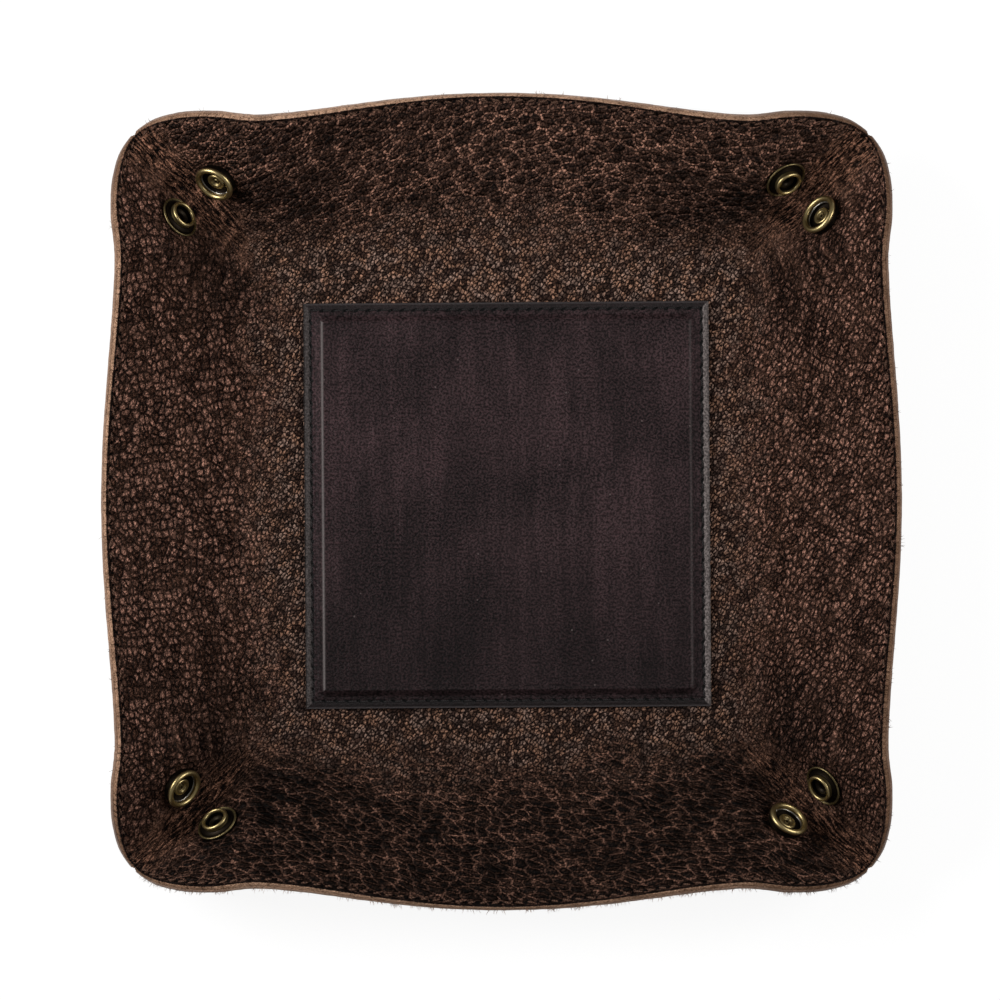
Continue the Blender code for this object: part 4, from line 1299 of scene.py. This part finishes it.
# The press snaps. Each is spun from thin brass and antiqued: dark in the hollows and rubbed bright
# on the rolled rims. The socket is held by the rolled end of its cap's post, the stud by an eyelet.
# Both stand on seats pressed into the grain, 0.3 mm over it.
SNAP_STEPS = 56
SEAT_GAP = 0.0003
POST_RADIUS = 0.0017
SHEET_METAL = 0.0004
SOCKET_RADIUS = 0.00615
SOCKET_FOOT = SOCKET_RADIUS * 0.9
SOCKET_HEIGHT = 0.0033
SOCKET_MOUTH = 0.00445
STUD_FLANGE_RADIUS = 0.0064
STUD_RADIUS = 0.0042
STUD_HEIGHT = 0.0029
STUD_BORE = 0.0031
CAP_RADIUS = 0.0062
CAP_HEIGHT = 0.0013
CAP_EDGE = 0.0002
EYELET_RADIUS = 0.0051
EYELET_BORE = 0.0010
SPRING_RADIUS = 0.00025
SPRING_OPENING = math.radians(30.0)
SNAP_SHARP_TURN = math.radians(55.0)
MERGE_REACH = SHEET_METAL / 200.0
UNDER_SEAT = -STACK - SEAT_GAP
POST_SEAT = 2.0 * SEAT_GAP + SHEET_METAL
POST_BORE = POST_RADIUS + SEAT_GAP
STEEL_COLOURS = ((0.22, 0.20, 0.18), (0.42, 0.40, 0.36))


def rubbed_brass_group():
    """Antiqued brass: dark patina, rubbed through to yellow metal where the piece stands out."""
    group, given, give = new_group("rubbed brass", {
        "Place": ("Vector", None),
        "Rubbed": ("Float", 0.5),
        "Patina": ("Color", (0.035, 0.026, 0.015)),
        "Bare Metal": ("Color", (0.62, 0.46, 0.18)),
    }, {"Colour": "Color", "Roughness": "Float", "Height": "Float"})
    scratches = noise(group, given["Place"], 0.0007, 3.0, 0.65)
    uneven = combined(group, "MULTIPLY_ADD", scratches, 0.5, -0.25)
    share = scaled(group, combined(group, "ADD", given["Rubbed"], uneven), 0.25, 0.85)
    return give({
        "Colour": blended_colour(group, share, given["Patina"], given["Bare Metal"]),
        "Roughness": scaled(group, share, 0.0, 1.0, 0.5, 0.36), "Height": scratches,
    })


RUBBED_BRASS = rubbed_brass_group()


def brass(name, patina, bare):
    material, tree, shader = new_material(name)
    metal = placed(tree, RUBBED_BRASS, {
        "Place": object_place(tree), "Rubbed": attribute(tree, "wear_and_sheen", "Fac"),
        "Patina": patina, "Bare Metal": bare,
    })
    finish(tree, shader, {
        "Base Color": metal["Colour"], "Roughness": metal["Roughness"], "Metallic": 1.0,
    }, (metal["Height"], 0.12, 0.00005))
    return material


ANTIQUE_BRASS = brass("antique brass", (0.016, 0.012, 0.009), (0.44, 0.34, 0.16))
DARK_BRASS = brass("dark brass", (0.022, 0.017, 0.012), (0.30, 0.22, 0.10))


def spring_steel():
    material, tree, shader = new_material("spring wire")
    drawn = noise(tree, object_place(tree), 0.0004)
    finish(tree, shader, {
        "Base Color": blended_colour(tree, drawn, *STEEL_COLOURS),
        "Roughness": scaled(tree, drawn, 0.2, 0.8, 0.25, 0.4), "Metallic": 1.0,
    })
    return material


SPRING_STEEL = spring_steel()


def roll(radius, height, curl, first, last, rub, steps=8):
    """Points of a rolled rim: an arc about this radius and height, in degrees, 0 pointing outwards."""
    angles = np.radians(np.linspace(first, last, steps))
    return [(radius + curl * math.cos(a), height + curl * math.sin(a), rub) for a in angles]


def spun(name, profile, seat):
    """A piece of revolution, put on its seat. Each profile point is radius, height and how rubbed."""
    mesh = bmesh.new()
    layer = mesh.verts.layers.float.new("wear_and_sheen")
    ring = []
    for radius, height, rub in profile:
        vertex = mesh.verts.new((max(radius, 0.0), 0.0, height))
        vertex[layer] = rub
        ring.append(vertex)
    edges = [mesh.edges.new((ring[i - 1], ring[i])) for i in range(len(ring))]
    bmesh.ops.spin(
        mesh, geom=ring + edges, cent=(0.0, 0.0, 0.0), axis=(0.0, 0.0, 1.0),
        angle=2.0 * math.pi, steps=SNAP_STEPS, use_merge=True,
    )
    bmesh.ops.remove_doubles(mesh, verts=mesh.verts, dist=MERGE_REACH)
    bmesh.ops.dissolve_degenerate(mesh, edges=mesh.edges, dist=MERGE_REACH)
    bmesh.ops.recalc_face_normals(mesh, faces=mesh.faces)
    mesh.transform(seat)
    piece = new_piece(name, mesh)
    piece.data.set_sharp_from_angle(angle=SNAP_SHARP_TURN)
    return piece


def snap_seat_frame(number, side):
    """Snap coordinates for one flap: Z out of the grain, the origin on the grain."""
    facing = Vector((side * SEAT_FACING[0], SEAT_FACING[1], SEAT_FACING[2]))
    middle = Vector((side * SEAT_MIDDLE[0], SEAT_MIDDLE[1], SEAT_MIDDLE[2] + STACK))
    level = Vector((0.0, 0.0, 1.0)).cross(facing).normalized()
    seat = Matrix.Identity(4)
    for column, direction in enumerate((level, facing.cross(level), facing, middle)):
        seat.col[column][:3] = direction
    return Matrix.Rotation(-number * math.pi / 2.0, 4, "Z") @ seat


def socket_profile():
    """The ring that the stud presses into: a drum with a broad rolled rim and a dark well."""
    low, top = SEAT_GAP, SEAT_GAP + SOCKET_HEIGHT
    curl = (SOCKET_RADIUS - SOCKET_MOUTH) / 2.0
    inner = SOCKET_FOOT - SHEET_METAL
    return [
        (POST_BORE, low, 0.1),
        (SOCKET_FOOT, low, 0.2),
        (SOCKET_FOOT + 0.0001, low + 0.0003, 0.3),
        (SOCKET_FOOT, top - 2.0 * curl, 0.15),
        *roll(SOCKET_RADIUS - curl, top - curl, curl, -60.0, 90.0, 0.95, 12),
        *roll(SOCKET_RADIUS - curl, top - curl, curl, 100.0, 215.0, 0.85, 10),
        (SOCKET_MOUTH + 0.0002, top - 1.9 * curl, 0.15),
        (inner, top - 2.3 * curl, 0.1),
        (inner, low + 2.0 * SHEET_METAL, 0.1),
        (inner - SHEET_METAL, low + SHEET_METAL, 0.12),
        (POST_BORE, low + SHEET_METAL, 0.1),
    ]


def post_end_profile():
    """The domed cap outside, its post through both leathers, and the post's rolled end."""
    curl = 0.00050
    reach = 0.00272
    domed = CAP_HEIGHT - CAP_EDGE
    dome = [
        (CAP_RADIUS * math.sin(a), UNDER_SEAT - CAP_EDGE - domed * math.cos(a), 0.55)
        for a in np.radians(np.linspace(0.0, 86.0, 10))
    ]
    return [
        *dome,
        (CAP_RADIUS, UNDER_SEAT - 0.0001, 0.7),
        (CAP_RADIUS - SHEET_METAL, UNDER_SEAT, 0.2),
        (POST_RADIUS, UNDER_SEAT, 0.1),
        (POST_RADIUS, POST_SEAT, 0.1),
        (reach - curl, POST_SEAT, 0.2),
        *roll(reach - curl, POST_SEAT + curl, curl, -80.0, 90.0, 0.9, 8),
        *roll(reach - curl * 1.9, POST_SEAT + curl * 0.9, curl, 80.0, 175.0, 0.6, 6),
        (0.0009, POST_SEAT + 0.0003, 0.35),
        (0.0007, POST_SEAT + 0.0006, 0.6),
        (0.0004, POST_SEAT + 0.0006, 0.5),
        (0.0003, POST_SEAT + 0.0001, 0.05),
        (0.0, POST_SEAT + 0.0001, 0.05),
    ]


def stud_profile():
    """A dished flange with a raised edge and a step, and the hollow boss that enters the socket."""
    low, top = SEAT_GAP, SEAT_GAP + STUD_HEIGHT
    dish = low + SHEET_METAL
    edge = 0.00032
    curl = (STUD_RADIUS - STUD_BORE) / 2.0
    neck = STUD_RADIUS - 0.00018
    hollow = STUD_BORE - 0.0001
    return [
        (POST_BORE, low, 0.1),
        (STUD_FLANGE_RADIUS - edge, low, 0.2),
        *roll(STUD_FLANGE_RADIUS - edge, low + edge + 0.0002, edge, -80.0, 170.0, 0.5, 10),
        (STUD_FLANGE_RADIUS - 0.0010, dish, 0.12),
        (STUD_RADIUS + 0.0010, dish, 0.12),
        (STUD_RADIUS + 0.0009, dish + 0.00022, 0.25),
        (STUD_RADIUS + 0.0005, dish + 0.00026, 0.22),
        (STUD_RADIUS - 0.00012, dish + 0.0006, 0.1),
        (neck, top - 3.6 * curl, 0.15),
        (neck, top - 2.6 * curl, 0.8),
        *roll(STUD_RADIUS - curl, top - curl, curl, -30.0, 180.0, 0.95, 16),
        (hollow, top - 2.0 * curl, 0.12),
        (hollow, dish + SHEET_METAL, 0.06),
        (STUD_BORE - 0.0004, dish, 0.06),
        (POST_BORE, dish, 0.06),
    ]


def eyelet_profile():
    """The flat eyelet that carries the stud: flange outside, barrel through, and a flared end."""
    curl = 0.00036
    reach = 0.0025
    flange = EYELET_RADIUS - SHEET_METAL
    return [
        (EYELET_BORE, UNDER_SEAT - 2.0 * SHEET_METAL, 0.5),
        (flange, UNDER_SEAT - 2.0 * SHEET_METAL, 0.6),
        *roll(flange, UNDER_SEAT - SHEET_METAL, SHEET_METAL, -80.0, 80.0, 0.75, 6),
        (flange, UNDER_SEAT, 0.2),
        (POST_RADIUS, UNDER_SEAT, 0.1),
        (POST_RADIUS, POST_SEAT, 0.1),
        (reach - curl, POST_SEAT, 0.1),
        *roll(reach - curl, POST_SEAT + curl, curl, -80.0, 100.0, 0.22, 8),
        (EYELET_BORE + 0.0002, POST_SEAT + curl, 0.1),
        (EYELET_BORE, POST_SEAT, 0.05),
    ]


def ring_spring(name, seat):
    """The split ring of wire inside the socket that grips the stud."""
    radius = SOCKET_FOOT - SHEET_METAL - SEAT_GAP - SPRING_RADIUS
    height = SOCKET_HEIGHT - 3.0 * SHEET_METAL - SPRING_RADIUS
    start = Matrix.Rotation(SPRING_OPENING / 2.0, 4, "Z") @ Matrix.Translation((radius, 0.0, height))
    start = start @ Matrix.Rotation(math.pi / 2.0, 4, "X")
    mesh = bmesh.new()
    bmesh.ops.create_circle(mesh, cap_ends=True, segments=10, radius=SPRING_RADIUS, matrix=start)
    bmesh.ops.spin(
        mesh, geom=mesh.faces[:], cent=(0.0, 0.0, 0.0), axis=(0.0, 0.0, 1.0),
        angle=2.0 * math.pi - SPRING_OPENING, steps=SNAP_STEPS, use_duplicate=False,
    )
    bmesh.ops.remove_doubles(mesh, verts=mesh.verts, dist=SPRING_RADIUS / 100.0)
    bmesh.ops.recalc_face_normals(mesh, faces=mesh.faces)
    mesh.transform(seat)
    return new_piece(name, mesh)


SPUN_PIECES = {
    "stud": (
        ("stud_boss", stud_profile(), ANTIQUE_BRASS, "antique_brass", "stud"),
        ("stud_back", eyelet_profile(), DARK_BRASS, "dark_brass", "stud_eyelet"),
    ),
    "socket": (
        ("socket_ring", socket_profile(), ANTIQUE_BRASS, "antique_brass", "socket"),
        ("cap_and_post", post_end_profile(), ANTIQUE_BRASS, "antique_brass", "socket_cap"),
    ),
}
for number, wall in enumerate(WALLS):
    for kind, side in FLAPS:
        seat = snap_seat_frame(number, side)
        body = f"{wall}_{kind}_flap"
        for piece_name, profile, material, slot_name, node in SPUN_PIECES[kind]:
            piece = spun(f"{wall}_{piece_name}", profile, seat)
            dress(piece, material, slot_name, f"{wall}_{node}")
            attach(piece, body)
        if kind == "socket":
            piece = ring_spring(f"{wall}_wire_ring", seat)
            dress(piece, SPRING_STEEL, "spring_wire", f"{wall}_ring_spring")
            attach(piece, body)


# The table top: a white sheet between two large soft lamps, the stronger one to the west, both a
# little to the north. To the camera the sheet is pure white, and it keeps the tray's faint shadow.
TABLE_HALF = 1.6
TABLE_DROP = 0.0001
TABLE_WHITE = (0.86, 0.86, 0.86, 1.0)
TABLE_GLOW = 1.08
GLOW_SHARE = 0.84
WORLD_STRENGTH = 0.22
LAMP_SIZE = 0.42
LAMPS = (("west lamp", (-0.66, 0.20, 0.52), 6.4), ("east lamp", (0.68, 0.14, 0.52), 3.6))


def white_table():
    """White to the camera and in reflections, and a plain white sheet to the light."""
    material, tree, shader = new_material("white table top")
    finish(tree, shader, {"Base Color": TABLE_WHITE, "Roughness": 0.9, "Specular IOR Level": 0.1})
    path = put(tree, "ShaderNodeLightPath", {}).outputs
    seen = combined(tree, "MAXIMUM", path["Is Camera Ray"], path["Is Glossy Ray"])
    seen = combined(tree, "MAXIMUM", seen, path["Is Transmission Ray"])
    glow = put(tree, "ShaderNodeEmission", {"Color": (1.0, 1.0, 1.0), "Strength": TABLE_GLOW})
    both = put(tree, "ShaderNodeMixShader", {
        0: times(tree, seen, GLOW_SHARE), 1: shader.outputs[0], 2: glow.outputs[0],
    })
    tree.links.new(both.outputs[0], tree.nodes["Material Output"].inputs["Surface"])
    return material


table_mesh = bmesh.new()
bmesh.ops.create_grid(table_mesh, x_segments=2, y_segments=2, size=TABLE_HALF)
table, table_points = sheet_piece("table_top", table_mesh)
set_points(table, table_points - (0.0, 0.0, TABLE_DROP))
table.data.materials.append(white_table())

for lamp_name, lamp_place, power in LAMPS:
    lamp = bpy.data.lights.new(lamp_name, "AREA")
    lamp.shape = "SQUARE"
    lamp.size = LAMP_SIZE
    lamp.energy = power
    holder = bpy.data.objects.new(lamp_name, lamp)
    holder.location = lamp_place
    holder.rotation_euler = Vector(lamp_place).to_track_quat("Z", "Y").to_euler()
    bpy.context.scene.collection.objects.link(holder)

world = bpy.data.worlds.new("studio")
world.use_nodes = True
world.node_tree.nodes["Background"].inputs["Color"].default_value = (1.0, 1.0, 1.0, 1.0)
world.node_tree.nodes["Background"].inputs["Strength"].default_value = WORLD_STRENGTH
bpy.context.scene.world = world


# The camera. It looks straight down on the tray from far above, through a long lens, and stands
# half a millimetre to the west and north of the tray's middle.
CAMERA_DISTANCE = 1.5
VIEW_WIDTH = 0.300
SENSOR_WIDTH = 36.0
CAMERA_EAST = -0.00045
CAMERA_NORTH = 0.00045
camera_data = bpy.data.cameras.new("camera")
camera_data.sensor_width = SENSOR_WIDTH
camera_data.lens = SENSOR_WIDTH * CAMERA_DISTANCE / VIEW_WIDTH
camera_data.clip_start = 0.05
camera = bpy.data.objects.new("camera", camera_data)
camera.location = (CAMERA_EAST, CAMERA_NORTH, STACK + CAMERA_DISTANCE)
bpy.context.scene.collection.objects.link(camera)
bpy.context.scene.camera = camera
bpy.context.scene.view_settings.view_transform = "Standard"
